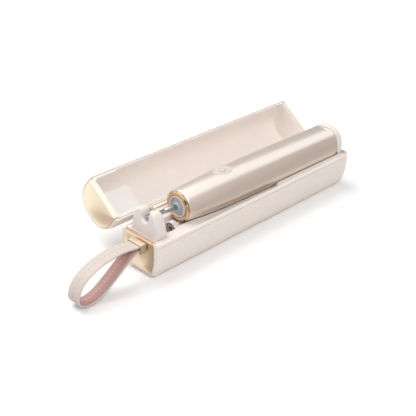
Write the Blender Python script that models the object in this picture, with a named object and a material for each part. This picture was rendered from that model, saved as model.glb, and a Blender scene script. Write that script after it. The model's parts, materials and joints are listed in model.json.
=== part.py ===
"""Sonic toothbrush handle lying in an open, leather-clad travel case with a wrist strap.

The case is a long trough with a half-round lid on a rolled hinge. X runs along the case with the strap
at its low end, the hinge is on the +Y side, Z is up, and the origin is the middle of the underside.
"""

import math

import bmesh
import bpy
import numpy as np

MM = 0.001

# Case, outside
BASE_CORNER = 9 * MM
BASE_RIM_STRAIGHT = 4 * MM
LID_CORNER = 17 * MM
LID_RIM_STRAIGHT = 9.5 * MM
LID_ROOM = 2.5 * MM
RIM_GAP = 0.4 * MM
SEAT_GAP = 0.3 * MM

# Leather, shells and end caps
BASE_LEATHER = 1.5 * MM
LID_LEATHER = 1.1 * MM
RIM_ROLL = 1.0 * MM
END_FILLET = 5.0 * MM
BASE_END_BAND = 3.2 * MM
LID_END_BAND = 1.9 * MM
END_CUT_EDGE = 0.5 * MM
END_TURN_IN = 2.6 * MM
END_STEPS = 4
SHELL_WALL = 1.4 * MM
LINER_WALL = 0.9 * MM
LINER_END_WALL = 1.2 * MM
LINER_PAD = 1.2 * MM
LINER_PAD_LENGTH = 19 * MM
CAP_THICKNESS = 3.0 * MM
CAP_EDGE_SETBACK = 0.6 * MM
CAP_BULGE = 1.4 * MM
CAP_CROWN_POWER = 2.4
CAP_CROWN_SHARES = (0.93, 0.8, 0.6, 0.35)

# Closing magnets, sunk in the inner faces of the end caps
MAGNET_SIDE = 5.0 * MM
MAGNET_DEPTH = 1.3 * MM
MAGNET_Y = -9.5 * MM
MAGNET_BELOW_RIM = 5.0 * MM

# Hinge
HINGE_SETBACK = 2.8 * MM
HINGE_LENGTH = 150 * MM
HINGE_KNUCKLES = 5
HINGE_PIN_RADIUS = 0.7 * MM
HINGE_BORE_GAP = 0.3 * MM
HINGE_SHEET = 0.7 * MM
HINGE_LEAF_HEIGHT = 8 * MM
HINGE_WEB = 1.0 * MM
HINGE_CURL_START = 20
HINGE_CURL_END = 320
LID_OPEN_ANGLE = math.radians(142.0)

# Tray
TRAY_WALL = 1.4 * MM
TRAY_FLOOR_GAP = 1.1 * MM
DECK_BELOW_RIM = 0.8 * MM
LIP_ABOVE_RIM = 0.6 * MM
SIDE_WALL = 0.7 * MM
TROUGH_CLEARANCE = 0.4 * MM
SCALLOP_BEHIND_NOSE = 4.6 * MM
SCALLOP_LENGTH = 86 * MM
SCALLOP_DEPTH = 7 * MM
SCALLOP_RUN_IN = 20 * MM
SCALLOP_RAMP = 3 * MM
SCALLOP_INNER = 7 * MM
SCALLOP_OUTER = 2 * MM
WELL_SETBACK = 1 * MM
WELL_SLOPE = 6 * MM
WELL_HALF_WIDTH = 7.2 * MM
WELL_EDGE = 2 * MM
GROOVE_CLEARANCE = 0.5 * MM
GROOVE_END_GAP = 1.5 * MM
GROOVE_HEAD_ROOM = 1 * MM
GROOVE_HEAD_LEAD = 6 * MM
GROOVE_HEAD_SLOPE = 4 * MM
GROOVE_HEAD_SQUARE = 8
GRID_STEP = 0.3 * MM

# Shaft cradle and end rest
CRADLE_SETBACK = 1.2 * MM
CRADLE_LENGTH = 10.6 * MM
CRADLE_TO_NOSE = 21.7 * MM
CRADLE_HALF_WIDTH = 13.6 * MM
CRADLE_ABOVE_SHAFT = 9.1 * MM
CRADLE_LEAN = 2.6 * MM
CRADLE_NOTCH_HALF = 3.6 * MM
CRADLE_EAR_RADIUS = 3.0 * MM
CRADLE_EAR_START = 50
CRADLE_ARCH_POWER = 0.8
CRADLE_ARCH_STEPS = 6
CRADLE_EDGE = 2.0 * MM
REST_GAP = 0.5 * MM
REST_THICKNESS = 5.2 * MM
REST_BACK_GAP = 0.53 * MM
REST_FOOT = 1 * MM
REST_MARGIN = 0.4 * MM
REST_EDGE = 0.9 * MM
CHARGE_COIL_RADIUS = 7.5 * MM
CHARGE_COIL_BORE = 4.0 * MM
CHARGE_COIL_DEPTH = 1.4 * MM

# Charging board and its socket, under the tray at the end away from the strap
BOARD_LENGTH = 76 * MM
BOARD_WIDTH = 18 * MM
BOARD_THICKNESS = 1.2 * MM
SOCKET_WIDTH = 8.9 * MM
SOCKET_HEIGHT = 3.2 * MM
SOCKET_LENGTH = 7.4 * MM
SOCKET_WALL = 0.4 * MM
SOCKET_RECESS = 0.6 * MM

# Wrist strap and its bracket
STRAP_WIDTH = 11.8 * MM
STRAP_LEATHER = 1.3 * MM
STRAP_LINING = 0.8 * MM
STRAP_LINING_WIDTH = 9.6 * MM
STRAP_CENTRE_Y = -3.6 * MM
STRAP_REACH = 55.4 * MM
STRAP_BEND_HEIGHT = 8 * MM
STRAP_BEND_RUN = 10.7 * MM
STRAP_UPPER_PULL = 19 * MM
STRAP_UPPER_LIFT = 5.4 * MM
STRAP_FALL_PULL = 18 * MM
STRAP_BEND_PULL = 5 * MM
STRAP_FLOOR_PULL = 12 * MM
STRAP_LOWER_PULL = 11 * MM
STRAP_LOWER_DROP = 4.3 * MM
STRAP_STATIONS = 14
BRACKET_HEIGHT = 7.6 * MM
BRACKET_DEPTH = 5.2 * MM
BRACKET_BELOW_RIM = 0.4 * MM
BRACKET_WALL = 1.0 * MM
STRAP_PIN_RADIUS = 0.6 * MM

# Handle body, in its own frame: X from the nose ring's face back to the end
NOSE_ABOVE_RIM = 9.3 * MM
HANDLE_TILT = math.radians(1.0)
BODY_LENGTH = 167.3 * MM
NOSE_RADIUS = 12.3 * MM
BODY_RADIUS = 14.5 * MM
NOSE_TAPER = 52 * MM
NOSE_EXPONENT = 2.0
END_EXPONENT = 2.5
BODY_SIDE_ROOM = 1.4 * MM
BODY_WALL = 1.6 * MM
NOSE_RINGS = 8
BODY_RINGS = 4
BODY_FRONT = 1.9 * MM
NOSE_RING_RADIUS = 11.9 * MM
NOSE_RING_FACE = 10.5 * MM
NOSE_RING_BORE = 8.5 * MM
NOSE_RING_DEPTH = 1.6 * MM
NOSE_RING_CHAMFER = 0.9 * MM
NOSE_SPIGOT_RADIUS = 10.8 * MM
NOSE_SPIGOT_END = 5.0 * MM
NOSE_COLLAR_WALL = 1.2 * MM
NOSE_COLLAR_PROUD = 0.2 * MM
SEAL_THICKNESS = 2.4 * MM
SEAL_LIP = 1.1 * MM
SEAL_LIP_WALL = 0.5 * MM
SEAL_CONE_FOOT = 1.6 * MM
SEAL_SINK = 0.3 * MM
END_CAP_PLATE = 3.2 * MM
END_CAP_SPIGOT = 5.6 * MM
END_CAP_WALL = 1.2 * MM
END_CAP_FILLET = 1.6 * MM
END_CAP_FLOOR = 0.6 * MM
END_FACE_SHARE = 0.6
GASKET_THICKNESS = 0.5 * MM
GASKET_INSET = 0.3 * MM

# Drive, on a line that leans up from the handle's own axis
SHAFT_LEAN = math.radians(4.0)
SHAFT_RADIUS = 1.9 * MM
SHAFT_IN_CRADLE = 7.2 * MM
SHAFT_FLAT_LENGTH = 17 * MM
SHAFT_FLAT_HEIGHT = 0.8 * MM
SHAFT_CHAMFER = 0.5 * MM
MOTOR_FRONT = 6.6 * MM
MOTOR_REAR = 34 * MM
MOTOR_RADIUS = 10.0 * MM
MOTOR_WALL = 1.0 * MM
BEARING_RADIUS = 5.0 * MM
BEARING_WIDTH = 3.6 * MM
ROTOR_RADIUS = 5.6 * MM
STATOR_LENGTH = 13 * MM
COIL_LENGTH = 2.6 * MM

# Battery, board and button
BATTERY_RADIUS = 7.1 * MM
BATTERY_LENGTH = 49 * MM
BATTERY_FRONT = 62 * MM
BATTERY_DROP = 3.5 * MM
BATTERY_NUB_RADIUS = 2.5 * MM
BATTERY_NUB_LENGTH = 0.8 * MM
CARRIER_WALL = 1.4 * MM
CARRIER_STEPS = 10
MAIN_BOARD_FRONT = 36 * MM
MAIN_BOARD_BEFORE_END = 21.5 * MM
MAIN_BOARD_WIDTH = 16.4 * MM
MAIN_BOARD_THICKNESS = 1.0 * MM
MAIN_BOARD_HEIGHT = 5.4 * MM
BUTTON_X = 45.5 * MM
BUTTON_RADIUS = 3.1 * MM
BUTTON_PROUD = 0.3 * MM
BUTTON_TRAVEL = 0.6 * MM
BUTTON_STEM = 1.2 * MM
BUTTON_STEM_SHARE = 0.6
BUTTON_RIM_SHARE = 0.9
BUTTON_DISH_SHARE = 0.68
BUTTON_DISH_DEPTH = 0.18 * MM
BUTTON_STEPS = 28
PANEL_HALF_LENGTH = 7.8 * MM
PANEL_HALF_WIDTH = 5.8 * MM
PANEL_EGG = 0.14
PANEL_PROUD = 0.15 * MM
SWITCH_SIDE = 6.0 * MM
SWITCH_EDGE = 0.4 * MM
CHARGE_PICKUP_RADIUS = 10.4 * MM
CHARGE_PICKUP_BORE = 5.5 * MM
CHARGE_PICKUP_DEPTH = 3.0 * MM

# Brush head, stored under the nose with its collar facing the strap end
BRUSH_AHEAD_OF_NOSE = 7.0 * MM
BRUSH_NOSE_GAP = 1.2 * MM
BRUSH_COLLAR_RADIUS = 6.2 * MM
BRUSH_COLLAR_LENGTH = 4.4 * MM
BRUSH_COLLAR_CHAMFER = 0.4 * MM
BRUSH_SHOULDER_RADIUS = 4.3 * MM
BRUSH_SHOULDER_LENGTH = 2 * MM
BRUSH_NECK_RADIUS = 3.0 * MM
BRUSH_NECK_FLARE = 0.3 * MM
BRUSH_FLARE_LENGTH = 7 * MM
BRUSH_ROOT_LENGTH = 12 * MM
BRUSH_ROOT_HALF_WIDTH = 4.0 * MM
BRUSH_TIP_HALF_WIDTH = 2.0 * MM
BRUSH_HEAD_STEPS = 6
BRUSH_LENGTH = 74 * MM
BRUSH_HEAD_LENGTH = 25 * MM
BRUSH_HEAD_HALF_WIDTH = 6.0 * MM
BRUSH_HEAD_HALF_THICKNESS = 2.2 * MM
BRUSH_BORE = 5.4 * MM
BRUSH_BORE_DEPTH = 4.0 * MM
BRUSH_INSERT_BORE = 2.3 * MM
BRUSH_INSERT_RECESS = 0.5 * MM
TUFT_ROWS = 6
TUFT_COLUMNS = 3
TUFT_HEIGHT = 8.4 * MM
TUFT_FIELD_LENGTH = 17 * MM
TUFT_FIELD_WIDTH = 9 * MM
TUFT_PLATE = 0.8 * MM

# Facets
ROUND_STEPS = 36
FINE_STEPS = 24
PIN_STEPS = 12
CORNER_STEPS = 6
CUT_MARGIN = 2 * MM

# Sizes that follow: walls, then the run along X from the strap end, then the stack of heights
SHELL_OFFSET = BASE_LEATHER + SEAT_GAP
SHELL_INNER = SHELL_OFFSET + SHELL_WALL
LINER_OFFSET = LID_LEATHER + SEAT_GAP
LINER_INNER = LINER_OFFSET + LINER_WALL
HALF_WIDTH = BODY_RADIUS + BODY_SIDE_ROOM + SEAT_GAP + SHELL_INNER
CAP_INSET = CAP_EDGE_SETBACK + CAP_THICKNESS
BODY_RUN = BODY_LENGTH * math.cos(HANDLE_TILT)
REST_RUN = REST_GAP + REST_THICKNESS + REST_BACK_GAP + LINER_END_WALL
CRADLE_RUN = CRADLE_SETBACK + CRADLE_LENGTH + CRADLE_TO_NOSE
HALF_LENGTH = (CRADLE_RUN + BODY_RUN + REST_RUN) / 2 + CAP_INSET + SEAT_GAP
CAP_INNER_X = HALF_LENGTH - CAP_INSET
INSIDE_X = CAP_INNER_X - SEAT_GAP
CRADLE_FRONT = CRADLE_SETBACK - INSIDE_X
CRADLE_BACK = CRADLE_FRONT + CRADLE_LENGTH
WELL_START = CRADLE_BACK + WELL_SETBACK
NOSE_X = CRADLE_BACK + CRADLE_TO_NOSE
BODY_END_X = NOSE_X + BODY_RUN
REST_BACK_X = BODY_END_X + REST_GAP + REST_THICKNESS
SCALLOP_START = NOSE_X + SCALLOP_BEHIND_NOSE
SCALLOP_END = SCALLOP_START + SCALLOP_LENGTH
SHAFT_REACH = CRADLE_TO_NOSE + SHAFT_IN_CRADLE
BRUSH_X = NOSE_X - BRUSH_AHEAD_OF_NOSE
BRUSH_TILT = HANDLE_TILT + math.atan2(BODY_RADIUS - NOSE_RADIUS, NOSE_TAPER)
GROOVE_HALF = BRUSH_COLLAR_RADIUS + GROOVE_CLEARANCE
GROOVE_HEAD_DEPTH = BRUSH_HEAD_HALF_THICKNESS + SEAT_GAP + TUFT_PLATE + TUFT_HEIGHT + GROOVE_HEAD_ROOM
BRUSH_TIP_Z = SHELL_INNER + TRAY_FLOOR_GAP + TRAY_WALL + GROOVE_HEAD_DEPTH
BRUSH_Z = BRUSH_TIP_Z + BRUSH_LENGTH * math.tan(BRUSH_TILT)
NOSE_Z = BRUSH_Z + BRUSH_NECK_RADIUS + BRUSH_NOSE_GAP + NOSE_RADIUS
BASE_HEIGHT = NOSE_Z - NOSE_ABOVE_RIM
LID_HEIGHT = NOSE_ABOVE_RIM + BODY_RADIUS + LID_ROOM + LINER_INNER
BASE_BEND = (BASE_CORNER, BASE_HEIGHT - BASE_RIM_STRAIGHT)
LID_BEND = (LID_CORNER, LID_HEIGHT - RIM_GAP - LID_RIM_STRAIGHT)
BRACKET_TOP = BASE_HEIGHT - BRACKET_BELOW_RIM
BRACKET_WIDTH = STRAP_WIDTH + 2 * (SEAT_GAP + BRACKET_WALL)
DECK_Z = BASE_HEIGHT - DECK_BELOW_RIM
SHELL_TOP = DECK_Z - TRAY_WALL - SEAT_GAP
LID_RIM_Z = BASE_HEIGHT + RIM_GAP
HINGE_Y = HALF_WIDTH + HINGE_SETBACK
HINGE_Z = BASE_HEIGHT + RIM_GAP / 2


def clear_scene():
    for old in list(bpy.data.objects):
        bpy.data.objects.remove(old, do_unlink=True)


def material(name, colour, roughness, metallic=0.0):
    """A plain surface of one colour, given as sRGB hex."""
    made = bpy.data.materials.new(name)
    made.use_nodes = True
    shader = made.node_tree.nodes["Principled BSDF"]
    levels = [int(colour[i : i + 2], 16) / 255 for i in (0, 2, 4)]
    linear = [c / 12.92 if c <= 0.04045 else ((c + 0.055) / 1.055) ** 2.4 for c in levels]
    shader.inputs["Base Color"].default_value = (*linear, 1)
    shader.inputs["Roughness"].default_value = roughness
    shader.inputs["Metallic"].default_value = metallic
    return made


def group(name, location=(0, 0, 0), rotation=(0, 0, 0), parent=None):
    """An empty that carries the pieces of one moving body."""
    empty = bpy.data.objects.new(name, None)
    empty.location = location
    empty.rotation_euler = rotation
    empty.parent = parent
    bpy.context.scene.collection.objects.link(empty)
    return empty


def solid(name, points, faces, finish=None, parent=None, sharp=math.radians(32)):
    """An object from points and faces, with doubles merged and faces turned outwards."""
    mesh = bpy.data.meshes.new(name)
    mesh.from_pydata([tuple(p) for p in points], [], [tuple(f) for f in faces])
    work = bmesh.new()
    work.from_mesh(mesh)
    bmesh.ops.remove_doubles(work, verts=work.verts, dist=1e-6)
    bmesh.ops.dissolve_degenerate(work, edges=work.edges, dist=1e-7)
    bmesh.ops.recalc_face_normals(work, faces=work.faces)
    work.to_mesh(mesh)
    work.free()
    mesh.shade_smooth()
    mesh.set_sharp_from_angle(angle=sharp)
    made = bpy.data.objects.new(name, mesh)
    made.parent = parent
    if finish:
        mesh.materials.append(finish)
    bpy.context.scene.collection.objects.link(made)
    return made


def combine(target, helper, operation):
    """Cuts a helper from an object, or joins it on, and leaves the helper as a wire guide."""
    helper.hide_render = True
    helper.display_type = "WIRE"
    step = target.modifiers.new(helper.name, "BOOLEAN")
    step.operation = operation
    step.solver = "EXACT"
    step.object = helper


def loft_faces(rows, columns, closed_rows=False):
    """Quads between neighbouring rings, with the two end rings filled unless the rings close up."""
    last = rows if closed_rows else rows - 1
    faces = []
    for i in range(last):
        for j in range(columns):
            k, n = (i + 1) % rows, (j + 1) % columns
            faces.append((i * columns + j, i * columns + n, k * columns + n, k * columns + j))
    if not closed_rows:
        faces.append(tuple(range(columns)))
        faces.append(tuple(range((rows - 1) * columns, rows * columns)))
    return faces


def loft(name, rings, finish=None, parent=None, closed_rows=False):
    """A solid through a list of rings that have the same number of points."""
    rings = np.asarray(rings, float)
    faces = loft_faces(rings.shape[0], rings.shape[1], closed_rows)
    return solid(name, rings.reshape(-1, 3), faces, finish, parent)


def prism(name, outline, low, high, finish=None, parent=None):
    """A (y, z) outline carried along X."""
    rings = [[(x, y, z) for y, z in outline] for x in (low, high)]
    return loft(name, rings, finish, parent)


def upright(name, outline, low, high, finish=None, parent=None):
    """An (x, y) outline carried along Z."""
    rings = [[(x, y, z) for x, y in outline] for z in (low, high)]
    return loft(name, rings, finish, parent)


def block(name, low, high, finish=None, parent=None):
    """A box between two corners."""
    outline = [(low[1], low[2]), (high[1], low[2]), (high[1], high[2]), (low[1], high[2])]
    return prism(name, outline, low[0], high[0], finish, parent)


def turned(name, profile, finish=None, parent=None, steps=ROUND_STEPS, closed=True):
    """A closed (x, radius) profile turned about X."""
    angles = np.linspace(0, 2 * math.pi, steps, endpoint=False)
    rings = [
        [(x, r * math.cos(a), r * math.sin(a)) for a in angles] for x, r in profile
    ]
    return loft(name, rings, finish, parent, closed_rows=closed)


def tube(name, low, high, bore, radius, finish=None, parent=None, steps=ROUND_STEPS):
    """A plain ring along X."""
    return turned(name, [(low, bore), (low, radius), (high, radius), (high, bore)], finish, parent, steps)


def rod(name, low, high, radius, finish=None, parent=None, steps=ROUND_STEPS):
    """A plain bar along X."""
    return turned(name, [(low, radius), (high, radius)], finish, parent, steps, closed=False)


def bevel_edges(target, width, segments=2):
    """Rounds the sharp edges of a solid."""
    step = target.modifiers.new("rounded edges", "BEVEL")
    step.width = width
    step.segments = segments
    step.limit_method = "ANGLE"
    step.angle_limit = math.radians(40)


def arc(centre_y, centre_z, radius, start, end, steps, tall=None):
    """Points of an arc in (y, z), angles in degrees from +Y towards +Z. Its own height makes an ellipse."""
    angles = np.radians(np.linspace(start, end, steps + 1))
    rise = tall or radius
    return [(centre_y + radius * math.cos(a), centre_z + rise * math.sin(a)) for a in angles]


def trough_path(height, bend, offset, roll=0.0):
    """The wall line of an open-topped trough, from the front rim down and round to the back rim.

    The bend is the width and height of the quarter ellipse that bows each side into the floor.
    """
    half = HALF_WIDTH - offset
    wide, tall = bend[0] - offset, bend[1] - offset
    path = arc(-half + roll, height - roll, roll, 90, 180, 2) if roll else [(-half, height)]
    path += arc(-half + wide, offset + tall, wide, 180, 270, CORNER_STEPS, tall)
    path += arc(half - wide, offset + tall, wide, 270, 360, CORNER_STEPS, tall)
    path += arc(half - roll, height - roll, roll, 0, 90, 2) if roll else [(half, height)]
    return path


def base_frame(point):
    return point


def lid_frame(point):
    """Turns a trough over onto the base: its open side faces down at the lid's rim."""
    y, z = point
    return y, LID_RIM_Z + (LID_HEIGHT - RIM_GAP - z)


def trough_ring(x, height, bend, outer, inner, rolled, place):
    """One U-shaped ring of a trough wall. With no inner offset the section is solid up to its rim."""
    roll = min(RIM_ROLL, 0.8 * (inner - outer)) if rolled else 0.0
    outside = trough_path(height, bend, outer, roll)
    inside = trough_path(height, bend, inner if inner else outer + SHELL_WALL)
    if not inner:
        inside = [(y, height) for y, z in inside]
    return [(x, *place(p)) for p in outside + inside[::-1]]


def leather_wrap(name, height, bend, band, wall, place, finish, parent):
    """Leather over one half of the case: filleted at both ends and turned in round the end caps.

    The fillet is part of a circle that starts at the cut edge, level with the cap's edge, and ends
    along the side.
    """
    start = math.sqrt(1 - (1 - (band - END_CUT_EDGE) / END_FILLET) ** 2)
    run = END_FILLET * start
    depths = [(d, band) for d in np.linspace(0, END_TURN_IN, END_STEPS)]
    depths += [(END_TURN_IN + d, wall) for d in np.linspace(0, run, END_STEPS)]
    near = []
    for depth, inner in depths:
        share = max(start - depth / END_FILLET, 0)
        outer = END_FILLET * (1 - math.sqrt(1 - share**2))
        near.append((HALF_LENGTH - CAP_EDGE_SETBACK - depth, outer, inner))
    stations = [(-x, outer, inner) for x, outer, inner in near] + near[::-1]
    rings = [trough_ring(x, height, bend, o, i, True, place) for x, o, i in stations]
    return loft(name, rings, finish, parent)


def open_box(name, height, bend, outer, inner, end_wall, place, finish, parent, pad=None):
    """A trough-shaped shell with end walls. A pad makes its wall thicker near the strap end."""
    spans = [(-INSIDE_X + end_wall, inner), (INSIDE_X - end_wall, inner)]
    if pad:
        length, extra = pad
        step = -INSIDE_X + end_wall + length
        spans = [spans[0][:1] + (inner + extra,), (step, inner + extra), (step, inner), spans[1]]
    first, last = spans[0][0], spans[-1][0]
    stations = [(-INSIDE_X, None), (first, None), *spans, (last, None), (INSIDE_X, None)]
    rings = [trough_ring(x, height, bend, outer, i, False, place) for x, i in stations]
    return loft(name, rings, finish, parent)


def pillow_cap(name, side, height, bend, band, place, finish, parent):
    """A metal end cap set inside the leather's end band, bowed outwards like a pillow."""
    path = trough_path(height, bend, band + SEAT_GAP)
    outline = np.array([place(p) for p in path])
    middle = (outline.min(axis=0) + outline.max(axis=0)) / 2
    edge = HALF_LENGTH - CAP_EDGE_SETBACK
    levels = [(CAP_INNER_X, 1.0), (edge, 1.0)]
    levels += [(edge + CAP_BULGE * (1 - s**CAP_CROWN_POWER), s) for s in CAP_CROWN_SHARES]
    rings = []
    for x, share in levels:
        ring = middle + (outline - middle) * share
        rings.append([(side * x, y, z) for y, z in ring])
    return loft(name, rings, finish, parent)


def magnet(name, side, rim_z, direction, cap, finish, parent):
    """A block magnet in a pocket of an end cap's inner face, below or above the parting line."""
    centre_z = rim_z + direction * MAGNET_BELOW_RIM
    half = MAGNET_SIDE / 2

    def corners(grow, back):
        low = (CAP_INNER_X - back, MAGNET_Y - half - grow, centre_z - half - grow)
        high = (CAP_INNER_X + MAGNET_DEPTH + grow, MAGNET_Y + half + grow, centre_z + half + grow)
        if side > 0:
            return low, high
        return (-high[0], *low[1:]), (-low[0], *high[1:])

    block(name, *corners(0, 0), finish, parent)
    combine(cap, block(name + "_pocket", *corners(SEAT_GAP, CUT_MARGIN), None, parent), "DIFFERENCE")


def body_radius(x):
    """Half size of the handle at a distance behind the nose: it swells out of the nose and runs straight."""
    left = 1 - np.clip((x - BODY_FRONT) / NOSE_TAPER, 0, 1)
    return BODY_RADIUS - (BODY_RADIUS - NOSE_RADIUS) * left**2


def body_exponent(x):
    """Round at the nose, a soft square at the end."""
    share = np.clip(x / BODY_LENGTH, 0, 1)
    return NOSE_EXPONENT + (END_EXPONENT - NOSE_EXPONENT) * share


def super_ring(x, half, exponent, steps=ROUND_STEPS):
    """One superellipse |y|^n + |z|^n = half^n."""
    angles = np.linspace(0, 2 * math.pi, steps, endpoint=False)
    cos, sin = np.cos(angles), np.sin(angles)
    y = half * np.sign(cos) * np.abs(cos) ** (2 / exponent)
    z = half * np.sign(sin) * np.abs(sin) ** (2 / exponent)
    return [(x, b, c) for b, c in zip(y, z)]


def body_ring(x, inset=0.0):
    return super_ring(x, body_radius(x) - inset, body_exponent(x))


def body_top(x, y, lift=0.0):
    """Height of the handle's upper surface above its axis."""
    half, n = body_radius(x), body_exponent(x)
    return half * (1 - (abs(y) / half) ** n) ** (1 / n) + lift


def body_underside(x, y):
    """World height of the lowest clear surface under the handle, and very high beside it."""
    along = x - NOSE_X
    half = body_radius(along) + TROUGH_CLEARANCE
    n = body_exponent(along)
    drop = half * (1 - np.minimum(np.abs(y) / half, 1) ** n) ** (1 / n)
    axis_z = NOSE_Z - along * math.tan(HANDLE_TILT)
    beyond = np.abs(along - BODY_LENGTH / 2) - BODY_LENGTH / 2
    under = (np.abs(y) < half) & (beyond < TROUGH_CLEARANCE)
    return np.where(under, axis_z - drop, BASE_HEIGHT + BODY_LENGTH)


def blend(value, low, high):
    """Smooth rise from 0 to 1 between two values."""
    share = np.clip((value - low) / (high - low), 0, 1)
    return share * share * (3 - 2 * share)


def tray_top(x, y):
    """Upper surface of the tray: deck, raised lip, handle trough, finger scallop, well and brush groove."""
    inner = HALF_WIDTH - SHELL_INNER - SEAT_GAP
    raised = blend(x, SCALLOP_END, SCALLOP_END + SCALLOP_RAMP)
    raised = raised * blend(inner - np.abs(y), 0, SIDE_WALL)
    raised = raised * (1 - blend(x, REST_BACK_X, REST_BACK_X + REST_BACK_GAP / 2))
    top = DECK_Z + raised * (DECK_BELOW_RIM + LIP_ABOVE_RIM)
    span = blend(x, SCALLOP_START, SCALLOP_START + SCALLOP_RUN_IN) * (1 - raised)
    span = span * (1 - blend(x, SCALLOP_END, SCALLOP_END + SCALLOP_RAMP))
    scoop = span * SCALLOP_DEPTH * blend(-y, BODY_RADIUS - SCALLOP_INNER, BODY_RADIUS - SCALLOP_OUTER)
    top = top - scoop * blend(inner + y, SIDE_WALL, 2 * SIDE_WALL)
    top = np.minimum(top, body_underside(x, y))
    along = x - BRUSH_X
    axis_z = BRUSH_Z - along * math.tan(BRUSH_TILT)
    ramp = BRUSH_LENGTH - BRUSH_HEAD_LENGTH - GROOVE_HEAD_LEAD
    head = blend(along, ramp, ramp + GROOVE_HEAD_SLOPE)
    depth = GROOVE_HALF + head * (GROOVE_HEAD_DEPTH - GROOVE_HALF)
    square = 2 + GROOVE_HEAD_SQUARE * head
    share = np.minimum(np.abs(y) / GROOVE_HALF, 1)
    round_floor = axis_z - depth * (1 - share**square) ** (1 / square)
    in_groove = (share < 1) & (along > -CUT_MARGIN) & (along < BRUSH_LENGTH + GROOVE_END_GAP)
    top = np.where(in_groove, np.minimum(top, np.minimum(round_floor, axis_z)), top)
    fill = 1 - blend(np.abs(y), WELL_HALF_WIDTH - WELL_EDGE, WELL_HALF_WIDTH + WELL_EDGE)
    fill = fill * blend(x, WELL_START, WELL_START + WELL_SLOPE) * (along <= -CUT_MARGIN)
    return np.where(fill > 0, top + (BRUSH_Z - GROOVE_HALF - top) * fill, top)


def make_tray(finish, parent):
    """A moulded tray of even wall: its underside follows the upper surface one wall below."""
    half_y = HALF_WIDTH - BASE_LEATHER - SEAT_GAP
    inner = HALF_WIDTH - SHELL_INNER - SEAT_GAP
    groove = GROOVE_HALF * np.sin(np.linspace(0, math.pi / 2, 5)) * (1 - GRID_STEP / GROOVE_HALF)
    walls = [inner - 2 * SIDE_WALL, inner - SIDE_WALL, inner, half_y]
    right = np.concatenate([groove, np.linspace(GROOVE_HALF + GRID_STEP, walls[0], 4)[:-1], walls])
    across = np.concatenate([-right[:0:-1], right])
    groove_end = BRUSH_X + BRUSH_LENGTH + GROOVE_END_GAP
    collar_face = BRUSH_X - CUT_MARGIN
    head_start = BRUSH_X + BRUSH_LENGTH - BRUSH_HEAD_LENGTH - GROOVE_HEAD_LEAD
    along = np.concatenate(
        [
            [-INSIDE_X, WELL_START],
            np.linspace(WELL_START + WELL_SLOPE / 3, collar_face - GRID_STEP, 5),
            np.linspace(collar_face + GRID_STEP, NOSE_X - 2 * TROUGH_CLEARANCE, 2),
            np.linspace(NOSE_X, head_start, 8),
            np.linspace(head_start + GROOVE_HEAD_SLOPE / 2, groove_end - GRID_STEP, 5),
            np.linspace(groove_end + GRID_STEP, SCALLOP_END, 3),
            np.linspace(SCALLOP_END + SCALLOP_RAMP / 2, SCALLOP_END + SCALLOP_RAMP, 2),
            np.linspace(SCALLOP_END + BODY_RADIUS, BODY_END_X, 3),
            REST_BACK_X + np.array([-TRAY_WALL, 0, REST_BACK_GAP / 2]),
            [INSIDE_X],
        ]
    )
    x, y = np.meshgrid(along, across, indexing="ij")
    top = tray_top(x, y)
    shifts = (-TRAY_WALL, 0, TRAY_WALL)
    near = [
        tray_top(np.clip(x + a, -INSIDE_X, INSIDE_X), np.clip(y + b, -half_y, half_y))
        for a in shifts
        for b in shifts
    ]
    under = np.min([top, *near], axis=0) - TRAY_WALL
    under = np.where(np.abs(y) > inner - SIDE_WALL / 2, DECK_Z - TRAY_WALL, under)
    rows, columns = x.shape
    count = rows * columns
    points = np.concatenate([np.stack([x, y, z], -1).reshape(-1, 3) for z in (top, under)])
    faces = []
    for i in range(rows - 1):
        for j in range(columns - 1):
            a = i * columns + j
            quad = (a, a + 1, a + columns + 1, a + columns)
            faces += [quad, tuple(k + count for k in quad[::-1])]
    edge = [i * columns for i in range(rows)]
    edge += [(rows - 1) * columns + j for j in range(1, columns)]
    edge += [i * columns + columns - 1 for i in range(rows - 2, -1, -1)]
    edge += list(range(columns - 2, 0, -1))
    for a, b in zip(edge, edge[1:] + edge[:1]):
        faces.append((a, b, b + count, a + count))
    return solid("base_tray", points, faces, finish, parent)


def make_cradle(finish, parent):
    """The tombstone block that the drive shaft lies in: an arch with rounded ears and a notch between them.

    Its front leans back, and its sides follow a superellipse up to the arc that turns into the notch.
    """
    foot = DECK_Z + SEAT_GAP
    slope = math.tan(HANDLE_TILT + SHAFT_LEAN)
    shaft_z = NOSE_Z + (CRADLE_TO_NOSE + CRADLE_LENGTH / 2) * slope
    rise = shaft_z + CRADLE_ABOVE_SHAFT - foot
    notch_centre = shaft_z - SHAFT_RADIUS - SEAT_GAP - slope * CRADLE_LENGTH / 2 + CRADLE_NOTCH_HALF
    turn = math.radians(CRADLE_EAR_START)
    ear_y = CRADLE_NOTCH_HALF + CRADLE_EAR_RADIUS
    join = (ear_y + CRADLE_EAR_RADIUS * math.cos(turn)) / CRADLE_HALF_WIDTH
    half = []
    for a in np.linspace(0, math.acos(join ** (1 / CRADLE_ARCH_POWER)), CRADLE_ARCH_STEPS):
        side = CRADLE_HALF_WIDTH * math.cos(a) ** CRADLE_ARCH_POWER
        half.append((side, foot + rise * math.sin(a) ** CRADLE_ARCH_POWER))
    ear_z = half[-1][1] - CRADLE_EAR_RADIUS * math.sin(turn)
    half += arc(ear_y, ear_z, CRADLE_EAR_RADIUS, CRADLE_EAR_START, 180, CRADLE_ARCH_STEPS)[1:]
    outline = half + arc(0, notch_centre, CRADLE_NOTCH_HALF, 0, -180, CRADLE_ARCH_STEPS)
    outline += [(-y, z) for y, z in half[::-1]]
    front = [(CRADLE_FRONT + CRADLE_LEAN * (z - foot) / rise, y, z) for y, z in outline]
    back = [(CRADLE_BACK, y, z) for y, z in outline]
    made = loft("shaft_cradle", [front, back], finish, parent)
    bevel_edges(made, CRADLE_EDGE)


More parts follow.
